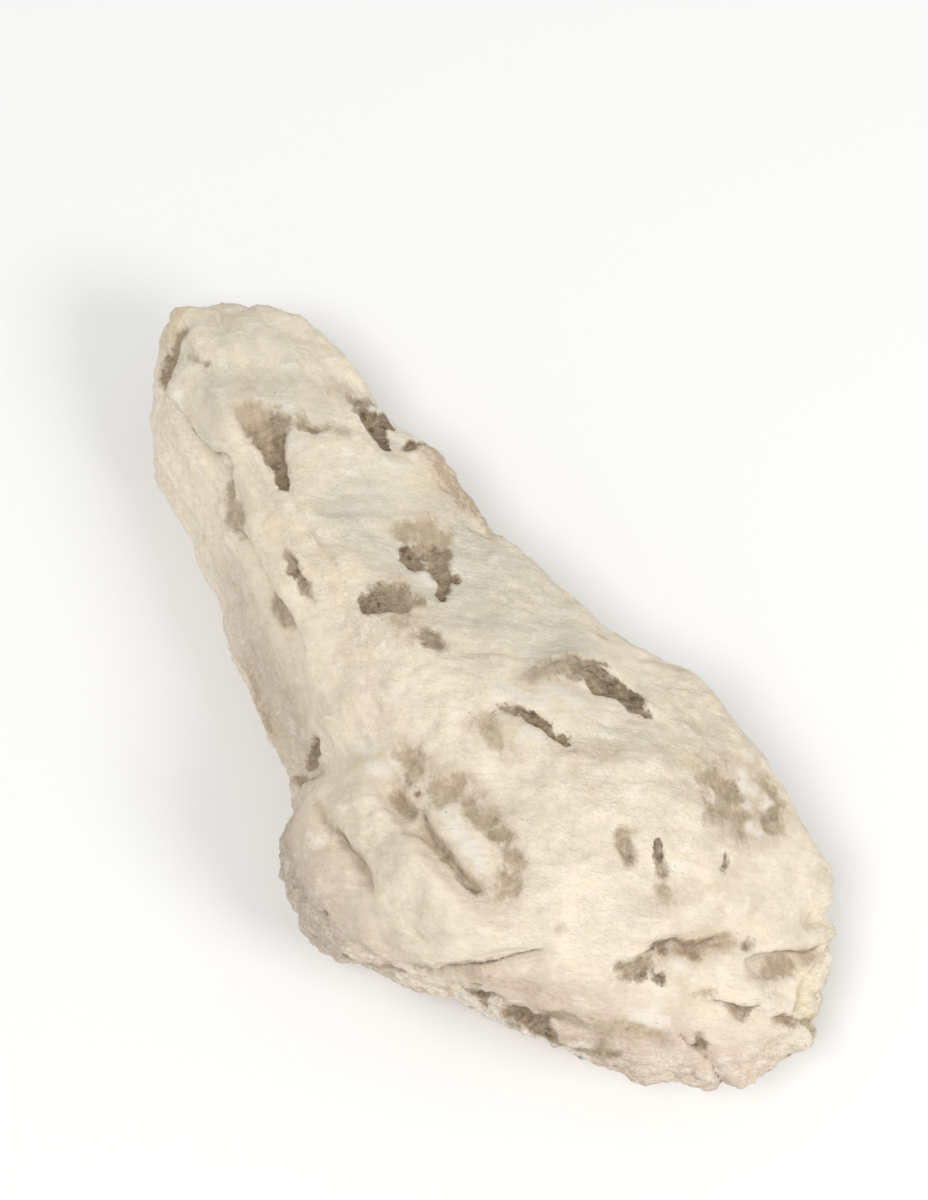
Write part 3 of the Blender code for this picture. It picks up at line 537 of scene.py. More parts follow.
def fine_copy(node):
    """A fine, even mesh of the node's shape, softened until its flat facets are gone."""
    stone = bpy.data.objects.new("whole_stone", node.data.copy())
    bpy.context.scene.collection.objects.link(stone)
    bm = bmesh.new()
    bm.from_mesh(stone.data)
    bmesh.ops.remove_doubles(bm, verts=bm.verts, dist=WELD * MM)
    bm.to_mesh(stone.data)
    bm.free()
    remesh = stone.modifiers.new("even_grid", "REMESH")
    remesh.mode = "VOXEL"
    remesh.voxel_size = GRID * MM
    smooth = stone.modifiers.new("soften", "SMOOTH")
    smooth.iterations = SOFTENING
    graph = bpy.context.evaluated_depsgraph_get()
    mesh = bpy.data.meshes.new_from_object(stone.evaluated_get(graph))
    stone.modifiers.clear()
    stone.data = mesh
    return stone


class Surface:
    """The stone's points and normals in millimetres, and what can be measured on them."""

    def __init__(self, mesh):
        self.mesh = mesh
        self.edges = self.read(mesh.edges, "vertices", 2, int)
        self.read_points()
        self.normals = self.spread(self.read(mesh.vertices, "normal", 3), NORMAL_PASSES)
        self.normals /= np.linalg.norm(self.normals, axis=1)[:, None]

    def read(self, items, name, width, kind=float):
        values = np.empty(len(items) * width, kind)
        items.foreach_get(name, values)
        return values.reshape(-1, width)

    def read_points(self):
        self.points = self.read(self.mesh.vertices, "co", 3) / MM

    def spread(self, values, passes):
        """Evens values out between neighbours."""
        a, b = self.edges.T
        count = np.bincount(self.edges.ravel(), minlength=len(values))
        for _ in range(passes):
            total = np.stack([
                np.bincount(a, column[b], len(values)) + np.bincount(b, column[a], len(values))
                for column in values.T
            ], 1)
            values = 0.5 * values + 0.5 * total / count[:, None]
        return values

    def inside(self, chain, sided=False):
        """How deep each point lies inside a chain of balls, and the chain's last number
        there, or its side where sided is true: above 0 on the left of the chain, seen from
        outside. Distance along the normal counts for little, so a chain may lie a bit off."""
        depth = np.full(len(self.points), FAR_OUT)
        last = np.zeros(len(self.points))
        for a, b in list(zip(chain, chain[1:])) or [(chain[0], chain[0])]:
            a, b = np.array(a, float), np.array(b, float)
            along = b[:3] - a[:3]
            t = np.clip((self.points - a[:3]) @ along / max(along @ along, 1e-6), 0.0, 1.0)
            ball = a + t[:, None] * (b - a)
            off = self.points - ball[:, :3]
            rise = np.einsum("ij,ij->i", off, self.normals)
            off -= self.normals * (rise * ROUTE_SLACK)[:, None]
            here = ball[:, 3] - np.linalg.norm(off, axis=1)
            nearer = here > depth
            depth[nearer] = here[nearer]
            value = ball[:, 4]
            if sided:
                value = np.einsum("ij,ij->i", np.cross(along, off), self.normals)
            last[nearer] = value[nearer]
        return depth, last

    def tone(self, groups, edge):
        """The strongest of soft-edged zones at each point."""
        found = np.zeros(len(self.points))
        for chain in groups.values():
            depth, strength = self.inside(chain)
            found = np.maximum(found, strength * smooth_step(0.5 + depth / (2.0 * edge)))
        return found

    def stretched(self, turn, lengths):
        """The points in axes turned about +Z, divided by a length along each."""
        c, s = cos(radians(turn)), sin(radians(turn))
        x, y, z = self.points.T
        return np.stack([x * c + y * s, y * c - x * s, z], 1) / np.array(lengths)

    def waves(self, places):
        return np.array([noise.noise(p) for p in places.tolist()])

    def splinters(self, places):
        """Heights of flat splinters, each at its own small tilt."""
        heights = np.empty(len(places))
        for i, p in enumerate(places.tolist()):
            p = Vector(p)
            distances, centres = noise.voronoi(p)
            total = weight = 0.0
            for d, centre in zip(distances[:3], centres):
                w = 2.0 ** (-CRISP * (d - distances[0]))
                total += w * (p - centre).dot(noise.cell_vector(centre * TILT_SEED) - HALF)
                weight += w
            heights[i] = total / weight
        return heights

    def terraces(self, places, seed=0.0):
        """Heights from -1 to 1 in flat treads with sharp risers, as cleavage breaks."""
        level = self.waves(places + seed) * TREAD_STEPS
        tread = np.floor(level)
        riser = smooth_step((level - tread) * 4.0 - 3.0)
        return (tread + riser) / TREAD_STEPS

    def push(self, heights):
        """Moves the points along their normals, except on the face that the stone lies on."""
        down, z = -self.normals[:, 2], self.points[:, 2]
        lying = smooth_step((down - RESTING_DOWN) / RESTING_FADE) * (z < RESTING_TOP)
        self.points += self.normals * (heights * (1.0 - lying))[:, None]
        self.points[:, 2] = np.maximum(self.points[:, 2], 0.0)

    def keep(self, name, values):
        """Stores a value for each point under a name that the finish can read."""
        made = self.mesh.attributes.new(name, "FLOAT", "POINT")
        made.data.foreach_set("value", values.astype(np.float32))

    def write_points(self):
        self.mesh.vertices.foreach_set("co", (self.points * MM).ravel())
        self.mesh.update()


def walk(surface, tree, here, heading, strides, rng):
    """Places on the surface along a way that bends a little, from a point's number."""
    places = [surface.points[here]]
    for stride in strides:
        heading = heading + rng.normal(0.0, WALK_BEND, 3)
        heading -= surface.normals[here] * (heading @ surface.normals[here])
        heading /= np.linalg.norm(heading)
        here = tree.find(Vector(surface.points[here] + heading * stride))[1]
        places.append(surface.points[here])
    return places


def hidden_marks(surface):
    """Chains of quartz, veils and cracks for the sides that the lists above leave bare."""
    rng = np.random.default_rng(HIDDEN_SEED)
    tree = kdtree.KDTree(len(surface.points))
    for number, place in enumerate(surface.points):
        tree.insert(Vector(place), number)
    tree.balance()
    shown = surface.normals @ np.array(direction(CAMERA_SIDE, CAMERA_HEIGHT))
    hidden = np.flatnonzero(shown < HIDDEN_BELOW)
    grains, veils, cracks = {}, {}, {}
    for number, start in enumerate(rng.choice(hidden, HIDDEN_GRAINS)):
        size = rng.uniform(*GRAIN_GIRTHS) * rng.uniform(0.5, 1.1)
        smoke = rng.uniform(*GRAIN_SMOKES)
        heading = np.array([1.0, rng.normal(0.0, 0.5), rng.normal(0.0, 0.4)])
        strides = rng.uniform(*GRAIN_STRIDES, rng.integers(1, 5)) * (0.6 + size)
        places = walk(surface, tree, start, heading, strides, rng)
        widths = size * rng.uniform(0.45, 1.15, len(places))
        name = "hidden_%d" % number
        grains[name] = [(*p, w, smoke) for p, w in zip(places, widths)]
        if number % 3 == 0:
            veils[name] = [(*p, w + VEIL_WIDER, VEIL_STRENGTH) for p, w in zip(places, widths)]
    for number, start in enumerate(rng.choice(hidden, HIDDEN_CRACKS)):
        heading = np.array([1.0, rng.normal(0.0, 0.7), rng.normal(0.0, 0.5)])
        strides = [CRACK_STRIDE] * rng.integers(*CRACK_STRIDES)
        places = walk(surface, tree, start, heading, strides, rng)
        depth = rng.uniform(*CRACK_DEPTHS)
        reach = rng.uniform(*CRACK_REACHES)
        shade = rng.uniform(*CRACK_SHADES)
        cracks["hidden_%d" % number] = (depth, CRACK_LEFT, reach, shade, places)
    return grains, veils, cracks


def quartz_field(surface, grains):
    """How deep each point lies in quartz, and how smoky the nearest quartz is."""
    depth = np.full(len(surface.points), FAR_OUT)
    smoke = np.zeros(len(surface.points))
    girth = np.zeros(len(surface.points))
    weight = np.full(len(surface.points), 1e-30)
    for chain in grains.values():
        here, dark = surface.inside(chain)
        near = np.exp(np.clip(here / GRAIN_BLEND, -60.0, 20.0))
        smoke += near * dark
        girth += near * max(ball[3] for ball in chain)
        weight += near
        depth = np.maximum(depth, here)
    girth /= weight
    coarse, small = RAGGED_SIZES
    ragged = surface.waves(surface.points / coarse) + 0.5 * surface.waves(surface.points / small)
    depth += QUARTZ_SPREAD + ragged * (RAGGED_LEAST + RAGGED_BY_GIRTH * girth)
    return depth, smoke / weight


def crack_field(surface, cracks):
    """How deep the cracks cut at each point, and how near it is to the middle of a dark one,
    in millimetres below zero."""
    cut = np.zeros(len(surface.points))
    line = np.full(len(surface.points), FAR_OUT)
    for depth, left, right, shade, route in cracks.values():
        chain = [(*place, 0.0, 0.0) for place in route]
        off, side = surface.inside(chain, sided=True)
        reach = np.where(side > 0.0, left, right)
        cut = np.maximum(cut, depth * np.clip(1.0 + off / reach, 0.0, 1.0) ** CRACK_CURVE)
        line = np.maximum(line, off - CRACK_LINE * (1.0 - shade))
    return cut, line


def frost_field(surface):
    """How near each point is to a route of bruised feldspar, in millimetres below zero."""
    best = np.full(len(surface.points), FAR_OUT)
    for route in FROST.values():
        chain = [(x, y, z, 1.0, 0.0) for x, y, z in route]
        best = np.maximum(best, surface.inside(chain)[0])
    return best


def along_share(surface):
    """1 where the grain runs along the stone, 0 where it runs across it."""
    x, y, z = surface.points.T
    head = smooth_step((HEAD_START - x) / HEAD_FADE)
    flank = smooth_step((FLANK_TOP - y - FLANK_SLOPE * x) / FLANK_FADE)
    flank *= smooth_step((FLANK_END - x) / FLANK_END_FADE)
    return np.maximum(head, flank)


def broken_share(surface):
    """How rough the break is: smooth on the broad face, rough at the ends and low down."""
    x, y, z = surface.points.T
    patches = np.clip(0.4 + surface.waves(surface.points / PATCH_SPREAD), 0.0, 1.0)
    face = (0.3 + 0.7 * patches) * ROUGH_FACE
    low = smooth_step((LOW_START - z) / LOW_FADE)
    head = smooth_step((ROUGH_HEAD_START - x) / ROUGH_HEAD_FADE) * ROUGH_HEAD
    return np.maximum(face, np.maximum(low, head))


def model_stone(node):
    """The whole stone with its splintery grain, sunken quartz and cracks."""
    stone = fine_copy(node)
    surface = Surface(stone.data)
    along = along_share(surface)
    grains, veils, cracks = hidden_marks(surface)
    quartz, smoke = quartz_field(surface, {**QUARTZ, **grains})
    cut, crack = crack_field(surface, {**CRACKS, **cracks})

    # Broken, splintery feldspar.
    across = surface.stretched(CROSS_TURN, ACROSS_SPLINTER)
    lengthwise = surface.stretched(LONG_TURN, ALONG_SPLINTER)
    big_splinters = surface.splinters(across) * (1.0 - along)
    big_splinters += surface.splinters(lengthwise) * along
    broken = broken_share(surface)
    crumbled = broken ** 2 * (1.0 - 0.7 * along)

    def pair(heights):
        return heights[0] * broken + heights[1] * crumbled

    heights = SPLINTER_HEIGHT * big_splinters * broken
    small = surface.stretched(CROSS_TURN, SMALL_SPLINTER)
    heights += surface.splinters(small) * pair(SMALL_SPLINTER_HEIGHT)
    treads = surface.terraces(across * TREAD_SHARE) * (1.0 - along)
    treads += surface.terraces(lengthwise * TREAD_SHARE, LONG_TREAD_SEED) * along
    heights += TREAD_HEIGHT * treads * np.maximum(broken ** 2, 0.5 * along)
    for size, height in SWELLS:
        heights += height * surface.waves(surface.points / size)
    heights += surface.waves(surface.points) * pair(GRIT_HEIGHT)
    heights += surface.splinters(surface.points / CRUMB) * pair(CRUMB_HEIGHT)

    # Quartz has broken lower than the feldspar round it.
    sunk = smooth_step((quartz + 0.3) / 0.9)
    heights = heights * (1.0 - 0.6 * sunk) - sunk * (QUARTZ_SUNK + SMOKY_SUNK * smoke)
    chips = surface.splinters(surface.points / QUARTZ_CHIP + QUARTZ_CHIP_SEED)
    heights += sunk * QUARTZ_CHIP_HEIGHT * chips

    # Cracks and ledge lips.
    heights -= cut

    surface.push(heights)
    surface.write_points()
    for name, (zones, edge) in ZONES.items():
        surface.keep(name, surface.tone(zones, edge))
    surface.keep("veil", surface.tone({**VEILS, **veils}, VEIL_EDGE))
    surface.keep("frost", frost_field(surface))
    # How far each point lies below its neighbours, which the finish turns into painted shade in
    # recesses.
    level = surface.spread(surface.points, HOLLOW_PASSES)
    surface.keep("hollow_shade", np.einsum("ij,ij->i", level - surface.points, surface.normals))
    for name, values in (
        ("quartz", quartz), ("smoke", smoke), ("crack", crack),
        ("along", along), ("crumbled", crumbled),
    ):
        surface.keep(name, values)
    lay_flat(surface)
    stone.data.shade_smooth()
    return stone


# The map opens out from a spine line on each side to a seam round the stone.
SPINE_ENDS = (-48.0, 44.0)
SPINE_Y = 6.0
SPINE_SLOPE = -0.06
SPINE_WIDTH = 1.5
SEAM_HEIGHT = 16.5
SEAM_SLOPE = 0.25
CHART_STEP = 140.0
MAP_EDGE = 0.01
MAP_STEPS = 160


def face_corners(surface):
    """Each corner's point, and each face's first corner and number of corners."""
    mesh = surface.mesh
    corners = surface.read(mesh.loops, "vertex_index", 1, int).ravel()
    starts = surface.read(mesh.polygons, "loop_start", 1, int).ravel()
    counts = surface.read(mesh.polygons, "loop_total", 1, int).ravel()
    return corners, starts, counts


def along_surface(surface, far):
    """The shortest way over the surface to each point from those that have a distance."""
    corners, starts, counts = face_corners(surface)
    four = starts[counts == 4]
    crossings = [np.stack([corners[four + k], corners[four + k + 2]], 1) for k in (0, 1)]
    a, b = np.concatenate([surface.edges] + crossings).T
    length = np.linalg.norm(surface.points[a] - surface.points[b], axis=1)
    for _ in range(MAP_STEPS):
        np.minimum.at(far, a, far[b] + length)
        np.minimum.at(far, b, far[a] + length)
    return far


def lay_flat(surface):
    """A map of two charts, the upper and the under side, each opened out over its rim."""
    x, y, z = surface.points.T
    spine_x = np.clip(x, *SPINE_ENDS)
    spine_y = SPINE_Y + SPINE_SLOPE * (spine_x - SPINE_ENDS[0])
    out = np.stack([x - spine_x, y - spine_y], 1)
    reach = np.linalg.norm(out, axis=1)
    unit = out / np.maximum(reach, 1e-6)[:, None]
    flat = []
    for near, way in ((z > SEAM_HEIGHT, 1.0), (z < SEAM_HEIGHT, -1.0)):
        far = along_surface(surface, np.where(near & (reach < SPINE_WIDTH), reach, np.inf))
        spread_out = np.stack([spine_x, spine_y], 1) + unit * far[:, None]
        flat.append(spread_out * np.array([way, 1.0]))
    corners, starts, counts = face_corners(surface)
    face = np.repeat(np.arange(len(starts)), counts)
    over = z - (SEAM_HEIGHT + SEAM_SLOPE * y)
    mean = np.bincount(face, over[corners]) / counts
    upper = (mean > 0.0)[face]
    under = flat[1][corners] + np.array([0.0, CHART_STEP])
    places = np.where(upper[:, None], flat[0][corners], under)
    low, high = places.min(0), places.max(0)
    places = MAP_EDGE + (1.0 - 2.0 * MAP_EDGE) * (places - low) / (high - low).max()
    made = surface.mesh.uv_layers.new(name="OFBake")
    made.data.foreach_set("uv", places.astype(np.float32).ravel())


class Value:
    """An output in a finish's nodes. Sums on numbers add their Math nodes."""

    def __init__(self, finish, socket):
        self.finish = finish
        self.socket = socket

    def __add__(self, other):
        return self.finish.math("ADD", self, other)

    def __radd__(self, other):
        return self.finish.math("ADD", other, self)

    def __sub__(self, other):
        return self.finish.math("SUBTRACT", self, other)

    def __rsub__(self, other):
        return self.finish.math("SUBTRACT", other, self)

    def __mul__(self, other):
        return self.finish.math("MULTIPLY", self, other)

    def __rmul__(self, other):
        return self.finish.math("MULTIPLY", other, self)

    def __truediv__(self, other):
        return self.finish.math("DIVIDE", self, other)


class Finish:
    """A material and short ways to build its nodes."""

    def __init__(self, name):
        self.material = bpy.data.materials.new(name)
        self.material.use_nodes = True
        self.tree = self.material.node_tree
        self.shader = self.tree.nodes["Principled BSDF"]

    def feed(self, socket, value):
        if isinstance(value, Value):
            self.tree.links.new(value.socket, socket)
        else:
            socket.default_value = value

    def node(self, kind, settings=None, sockets=None, out=0):
        node = self.tree.nodes.new(kind)
        for name, value in (settings or {}).items():
            setattr(node, name, value)
        for name, value in (sockets or {}).items():
            self.feed(node.inputs[name], value)
        return Value(self, node.outputs[out])

    def math(self, operation, *values):
        settings = {"operation": operation}
        return self.node("ShaderNodeMath", settings, dict(enumerate(values)))

    def absolute(self, value):
        return self.math("ABSOLUTE", value)

    def limited(self, value):
        """The value kept between 0 and 1."""
        settings = {"operation": "ADD", "use_clamp": True}
        return self.node("ShaderNodeMath", settings, {0: value, 1: 0.0})

    def stepped(self, value, low, high):
        """0 below low, 1 above high, and smooth between them."""
        settings = {"interpolation_type": "SMOOTHSTEP"}
        return self.node("ShaderNodeMapRange", settings, {0: value, 1: low, 2: high})

    def blend(self, a, b, share):
        """Colour a going over to colour b by a share."""
        settings = {"data_type": "RGBA", "clamp_factor": True}
        return self.node("ShaderNodeMix", settings, {0: share, 6: a, 7: b}, out=2)

    def stored(self, name):
        """A value that the mesh keeps for each point."""
        return self.node("ShaderNodeAttribute", {"attribute_name": name}, out="Fac")

    def places(self, turn, lengths):
        """The surface's places in turned axes, counted in these lengths in millimetres."""
        place = self.node("ShaderNodeTexCoord", out="Object")
        sockets = {
            "Vector": place,
            "Rotation": (0.0, 0.0, radians(turn)),
            "Scale": tuple(length * MM for length in lengths),
        }
        return self.node("ShaderNodeMapping", {"vector_type": "TEXTURE"}, sockets)

    def cloud(self, places, detail, rough=0.55, twist=0.0):
        """Noise about 0, from -0.5 to 0.5."""
        sockets = {
            "Vector": places, "Scale": 1.0, "Detail": detail,
            "Roughness": rough, "Distortion": twist,
        }
        return self.node("ShaderNodeTexNoise", {}, sockets, out="Fac") - 0.5

    def facets(self, places):
        """Heights of small flat chips, each at its own tilt."""
        sockets = {"Vector": places, "Scale": 1.0}
        centre = self.node("ShaderNodeTexVoronoi", {}, sockets, out="Position")
        tilt = self.node("ShaderNodeTexVoronoi", {}, sockets, out="Color")
        minus, dot = {"operation": "SUBTRACT"}, {"operation": "DOT_PRODUCT"}
        off = self.node("ShaderNodeVectorMath", minus, {0: places, 1: centre})
        lean = self.node("ShaderNodeVectorMath", minus, {0: tilt, 1: HALF})
        return self.node("ShaderNodeVectorMath", dot, {0: off, 1: lean}, out="Value")


# Lengths along the three turned axes, in millimetres.
BROAD_SIZE = (16.0, 16.0, 16.0)
PATCH_SIZE = (4.5, 4.5, 4.5)
FINE_SIZE = (0.7, 0.7, 0.7)
SPECK_SIZE = (0.45, 0.45, 0.45)
ACROSS_GRAIN = (9.0, 0.8, 0.9)
ALONG_GRAIN = (10.0, 0.9, 1.1)
ACROSS_STREAK = (7.0, 2.2, 2.6)
ALONG_STREAK = (9.0, 1.8, 2.4)
FLECK_SIZE = (2.6, 1.2, 1.4)
FLAKE_SIZE = (1.9, 1.0, 1.0)
CRUMBLY_SIZE = (2.0, 1.3, 1.5)
CRUMB_SIZE = (0.7, 0.55, 0.6)
MOTTLED_SIZE = (1.2, 0.8, 0.9)
CLOUDY_SIZE = (2.4, 1.1, 1.6)
STROKE_SIZE = (1.7, 0.8, 0.9)

CREAM_LOW = (0.66, 0.56, 0.42, 1.0)
CREAM_HIGH = (0.86, 0.75, 0.585, 1.0)
# Paler feldspar, for pale streaks and for painted light on faces in shade.
STREAK_AND_PAINTED_LIGHT_FELDSPAR = (0.94, 0.83, 0.67, 1.0)
COOL_FELDSPAR = (0.61, 0.56, 0.46, 1.0)
ROSY_FELDSPAR = (0.66, 0.505, 0.405, 1.0)
YELLOW_FELDSPAR = (0.76, 0.62, 0.37, 1.0)
WHITE_FELDSPAR = (0.85, 0.79, 0.70, 1.0)
DULL_FELDSPAR = (0.60, 0.51, 0.40, 1.0)
BUTTERY_FELDSPAR = (0.83, 0.71, 0.53, 1.0)
# The pinkish grey of the painted shade on the feet and the boss side.
DUSKY_SHADE_FELDSPAR = (0.52, 0.42, 0.34, 1.0)
BRUISED_FELDSPAR = (0.82, 0.745, 0.65, 1.0)
RIM_FELDSPAR = (0.82, 0.75, 0.65, 1.0)
PALE_VEIL = (0.60, 0.475, 0.34, 1.0)
DARK_VEIL = (0.40, 0.30, 0.20, 1.0)
PALE_QUARTZ = (0.54, 0.43, 0.29, 1.0)
DARK_QUARTZ = (0.125, 0.075, 0.036, 1.0)
CLOUDY_QUARTZ = (0.58, 0.49, 0.38, 1.0)
CRACK_BROWN = (0.15, 0.11, 0.08, 1.0)
# The brown of the painted shade in recesses.
HOLLOW_SHADE_BROWN = (0.42, 0.33, 0.24, 1.0)
FLOOR_WHITE = (0.9, 0.9, 0.89, 1.0)


def stone_finish():
    """Chalky cream feldspar with smoky quartz in it."""
    f = Finish("feldspar_with_smoky_quartz")
    broad = f.cloud(f.places(0.0, BROAD_SIZE), 2.0)
    patchy = f.cloud(f.places(0.0, PATCH_SIZE), 4.0, 0.6, 0.4)
    fine = f.cloud(f.places(0.0, FINE_SIZE), 3.0, 0.6)
    specks = f.cloud(f.places(0.0, SPECK_SIZE), 1.0)
    across = f.cloud(f.places(CROSS_TURN, ACROSS_GRAIN), 4.0, 0.6, 0.5)
    along = f.cloud(f.places(LONG_TURN, ALONG_GRAIN), 4.0, 0.6, 0.5)
    along_here = f.stored("along")
    grain = across * (1.0 - along_here) + along * along_here

    # Feldspar: cream, with a cool upper face, rosier and yellower parts, and pale streaks.
    flecks = f.cloud(f.places(CROSS_TURN, FLECK_SIZE), 4.0, 0.6, 0.8)
    cream = f.limited(0.6 + broad * 1.6 + patchy * 2.2 + flecks)
    feldspar = f.blend(CREAM_LOW, CREAM_HIGH, cream)
    # Painted light: paler feldspar on faces that the lamps leave in shade.
    feldspar = f.blend(feldspar, STREAK_AND_PAINTED_LIGHT_FELDSPAR, f.stored("painted_light") * f.limited(0.7 + patchy))
    feldspar = f.blend(feldspar, COOL_FELDSPAR, f.stored("cool") * f.limited(0.75 + patchy))
    feldspar = f.blend(feldspar, ROSY_FELDSPAR, f.stored("rosy") * f.limited(0.75 + patchy))
    feldspar = f.blend(feldspar, YELLOW_FELDSPAR, f.stored("yellow") * f.limited(0.75 + patchy * 2.0))
    # Painted shade on the feet and the boss side, in a pinkish grey.
    feldspar = f.blend(feldspar, DUSKY_SHADE_FELDSPAR, f.stored("dusk_shade") * f.limited(0.8 + patchy * 2.0))
    feldspar = f.blend(feldspar, WHITE_FELDSPAR, f.limited(grain * 2.2) * 0.45)
    dull = f.limited(grain * -1.8 - 0.1) * (0.25 + along_here * 0.35)
    feldspar = f.blend(feldspar, DULL_FELDSPAR, dull)
    streaks = f.cloud(f.places(CROSS_TURN, ACROSS_STREAK), 3.0, 0.6, 0.8)
    long_streaks = f.cloud(f.places(LONG_TURN, ALONG_STREAK), 3.0, 0.6, 0.8)
    streaks = streaks * (1.0 - along_here) + long_streaks * along_here
    feldspar = f.blend(feldspar, COOL_FELDSPAR, f.stepped(streaks, -0.04, -0.26) * 0.4)
    feldspar = f.blend(feldspar, STREAK_AND_PAINTED_LIGHT_FELDSPAR, f.stepped(streaks, 0.04, 0.26) * 0.4)
    feldspar = f.blend(feldspar, WHITE_FELDSPAR, f.stepped(flecks + fine * 0.2, 0.03, 0.2) * 0.5)
    feldspar = f.blend(feldspar, BUTTERY_FELDSPAR, f.stepped(patchy - flecks * 0.5, 0.0, 0.2) * 0.5)
    feldspar = f.blend(feldspar, DULL_FELDSPAR, f.stepped(flecks - fine * 0.15, -0.08, -0.3) * 0.3)

    # Broken faces are crumbly: whiter crumbs with duller ones between them.
    crumbled = f.stored("crumbled")
    mottled = f.cloud(f.places(MOTTLED_TURN, MOTTLED_SIZE), 4.0, 0.65, 0.5)
    crumbly = f.cloud(f.places(CRUMBLY_TURN, CRUMBLY_SIZE), 4.0, 0.65, 0.8)
    feldspar = f.blend(feldspar, WHITE_FELDSPAR, f.stepped(crumbly, 0.02, 0.16) * crumbled * 0.75)
    feldspar = f.blend(feldspar, DULL_FELDSPAR, f.stepped(crumbly, -0.05, -0.2) * crumbled * 0.6)

    # Quartz just below the surface, bruised feldspar, and the pale rim beside quartz.
    depth = f.stored("quartz")
    smoke = f.stored("smoke")
    veil = f.limited(f.stored("veil") * (1.2 + patchy * 2.0 + mottled * 3.5))
    veiled = f.blend(PALE_VEIL, DARK_VEIL, f.limited(veil * 0.7 + mottled * 1.5 - 0.35))
    feldspar = f.blend(feldspar, veiled, veil)
    bruise = f.stepped(f.stored("frost") + patchy * 2.0 + mottled * 3.0, -0.5, 0.9)
    feldspar = f.blend(feldspar, BRUISED_FELDSPAR, bruise * 0.8)
    outline = depth + mottled * 1.5 + fine * 0.6 - bruise * 0.5
    soft = 0.17 + f.limited(0.95 - smoke) * 0.9
    quartz_share = f.stepped(outline / soft, -1.0, 1.0) * f.limited(0.62 + smoke * 0.7 + mottled)
    rim = f.stepped(depth + mottled, -1.0, -0.1) * (1.0 - quartz_share)
    feldspar = f.blend(feldspar, RIM_FELDSPAR, rim * f.limited(patchy * 3.0))

    # Quartz: darker where it is smokier, with pale flaws.
    cloudy = f.cloud(f.places(MOTTLED_TURN, CLOUDY_SIZE), 4.0, 0.6, 1.2)
    strokes = f.cloud(f.places(STROKE_TURN, STROKE_SIZE), 3.0, 0.6, 0.8)
    inner = f.limited(smoke * 1.05 - 0.16 + cloudy * 1.3 + strokes * 1.5 * (smoke + 0.1) + fine * 0.15)
    quartz = f.blend(PALE_QUARTZ, DARK_QUARTZ, inner)
    flaws = f.stepped(f.absolute(strokes + mottled * 0.3), 0.03, 0.0) * f.stepped(cloudy, 0.0, 0.15)
    quartz = f.blend(quartz, CLOUDY_QUARTZ, flaws * 0.7)
    colour = f.blend(feldspar, quartz, quartz_share)

    # Dark lines in cracks, partly the cracks' own dark and partly painted shade, and painted shade in
    # recesses.
    crack = f.stepped(f.stored("crack") + specks * 0.25 + patchy * 0.5, -0.34, -0.06)
    colour = f.blend(colour, CRACK_BROWN, crack * 0.8)
    # Painted shade: the deeper a point lies below its neighbours, the darker it is painted.
    hollow_shade = f.stepped(f.stored("hollow_shade") + fine * 0.05, 0.06, 0.45)
    colour = f.blend(colour, HOLLOW_SHADE_BROWN, hollow_shade * 0.3)
    near = f.stepped(depth, -3.0, -0.2) * (1.0 - quartz_share)
    pepper = f.stepped(specks + fine * 0.5 + near * 0.08, 0.30, 0.37)
    colour = f.blend(colour, CRACK_BROWN, pepper * (0.12 + near * 0.35))
    f.feed(f.shader.inputs["Base Color"], colour)

    rough = 0.62 + fine * 0.25 - quartz_share * 0.27
    f.feed(f.shader.inputs["Roughness"], f.limited(rough))

    flakes = f.facets(f.places(CROSS_TURN, FLAKE_SIZE))
    crumbs = f.facets(f.places(CRUMB_TURN, CRUMB_SIZE))
    height = (flakes * 0.5 + crumbs * 0.4 + flecks * 0.4 + grain * 0.1) * crumbled
    height = height + flecks * 0.08 + flakes * 0.06 + grain * (0.05 + along_here * 0.12) + fine * 0.06
    height = height * (1.0 - quartz_share * 0.75)
    bump = f.node("ShaderNodeBump", {}, {"Strength": 1.0, "Distance": MM, "Height": height})
    f.feed(f.shader.inputs["Normal"], bump)
    return f.material


# The camera looks down on the stone from this side, in degrees, with a long lens.
CAMERA_SIDE = 52.0
CAMERA_HEIGHT = 70.0
CAMERA_LENS = 150.0
CAMERA_DISTANCE = 588.2
CAMERA_SENSOR = 36.0
CAMERA_CLIP = (0.01, 20.0)
STONE_MIDDLE = Vector((3.73, 7.44, 18.0))
FRAME_RIGHT = -3.18
FRAME_UP = 10.82

# Soft lights as side and height in degrees, then distance, width and power, in metres and
# watts, and the even light from all round.
LIGHTS = {
    "key": (108.0, 44.0, 0.9, 0.35, 2.7),
    "front": (25.0, 70.0, 1.1, 0.35, 4.2),
}
SKY_WHITE = (1.0, 1.0, 1.0, 1.0)
SKY_STRENGTH = 0.56
FLOOR_HALF = 1.5
FLOOR_ROUGHNESS = 0.8


def direction(side, height):
    """Towards a place that is side degrees round from -Y, and height degrees up."""
    a, e = radians(side), radians(height)
    return Vector((sin(a) * cos(e), -cos(a) * cos(e), sin(e)))


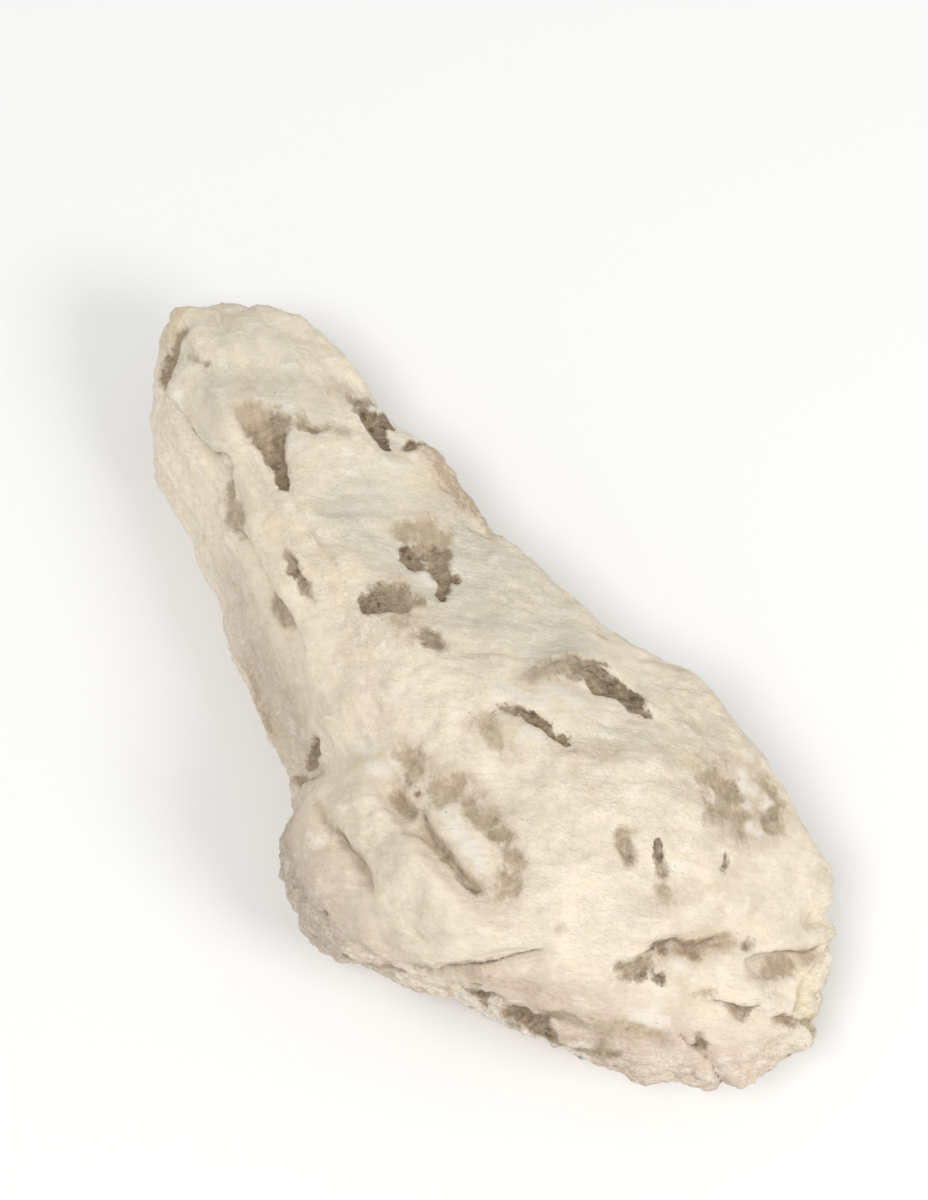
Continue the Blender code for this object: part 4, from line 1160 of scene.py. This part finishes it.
def set_camera():
    back = direction(CAMERA_SIDE, CAMERA_HEIGHT)
    right = Vector((cos(radians(CAMERA_SIDE)), sin(radians(CAMERA_SIDE)), 0.0))
    up = back.cross(right)
    target = STONE_MIDDLE + right * FRAME_RIGHT + up * FRAME_UP
    camera = bpy.data.cameras.new("camera")
    camera.lens = CAMERA_LENS
    camera.sensor_fit = "VERTICAL"
    camera.sensor_height = CAMERA_SENSOR
    camera.clip_start, camera.clip_end = CAMERA_CLIP
    holder = bpy.data.objects.new("camera", camera)
    holder.location = (target + back * CAMERA_DISTANCE) * MM
    holder.rotation_euler = back.to_track_quat("Z", "Y").to_euler()
    bpy.context.scene.collection.objects.link(holder)
    bpy.context.scene.camera = holder


def set_light(name, side, height, distance, size, power):
    light = bpy.data.lights.new(name, "AREA")
    light.shape = "DISK"
    light.size = size
    light.energy = power
    toward = direction(side, height)
    holder = bpy.data.objects.new(name, light)
    holder.location = toward * distance
    holder.rotation_euler = toward.to_track_quat("Z", "Y").to_euler()
    bpy.context.scene.collection.objects.link(holder)


def set_studio():
    world = bpy.data.worlds.new("studio")
    world.use_nodes = True
    sky = world.node_tree.nodes["Background"]
    sky.inputs["Color"].default_value = SKY_WHITE
    sky.inputs["Strength"].default_value = SKY_STRENGTH
    bpy.context.scene.world = world
    for name, settings in LIGHTS.items():
        set_light(name, *settings)
    bpy.context.scene.view_settings.view_transform = "Standard"


def set_floor():
    bm = bmesh.new()
    bmesh.ops.create_grid(bm, x_segments=1, y_segments=1, size=FLOOR_HALF)
    mesh = bpy.data.meshes.new("floor")
    bm.to_mesh(mesh)
    bm.free()
    floor = bpy.data.objects.new("floor", mesh)
    bpy.context.scene.collection.objects.link(floor)
    f = Finish("pale_floor")
    f.feed(f.shader.inputs["Base Color"], FLOOR_WHITE)
    f.feed(f.shader.inputs["Roughness"], FLOOR_ROUGHNESS)
    mesh.materials.append(f.material)


def main():
    stone = model_stone(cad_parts["zebradorite_stone"])
    stone.data.materials.clear()
    stone.data.materials.append(stone_finish())
    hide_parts("zebradorite_stone")
    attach(stone, "root")
    set_floor()
    set_studio()
    set_camera()


main()
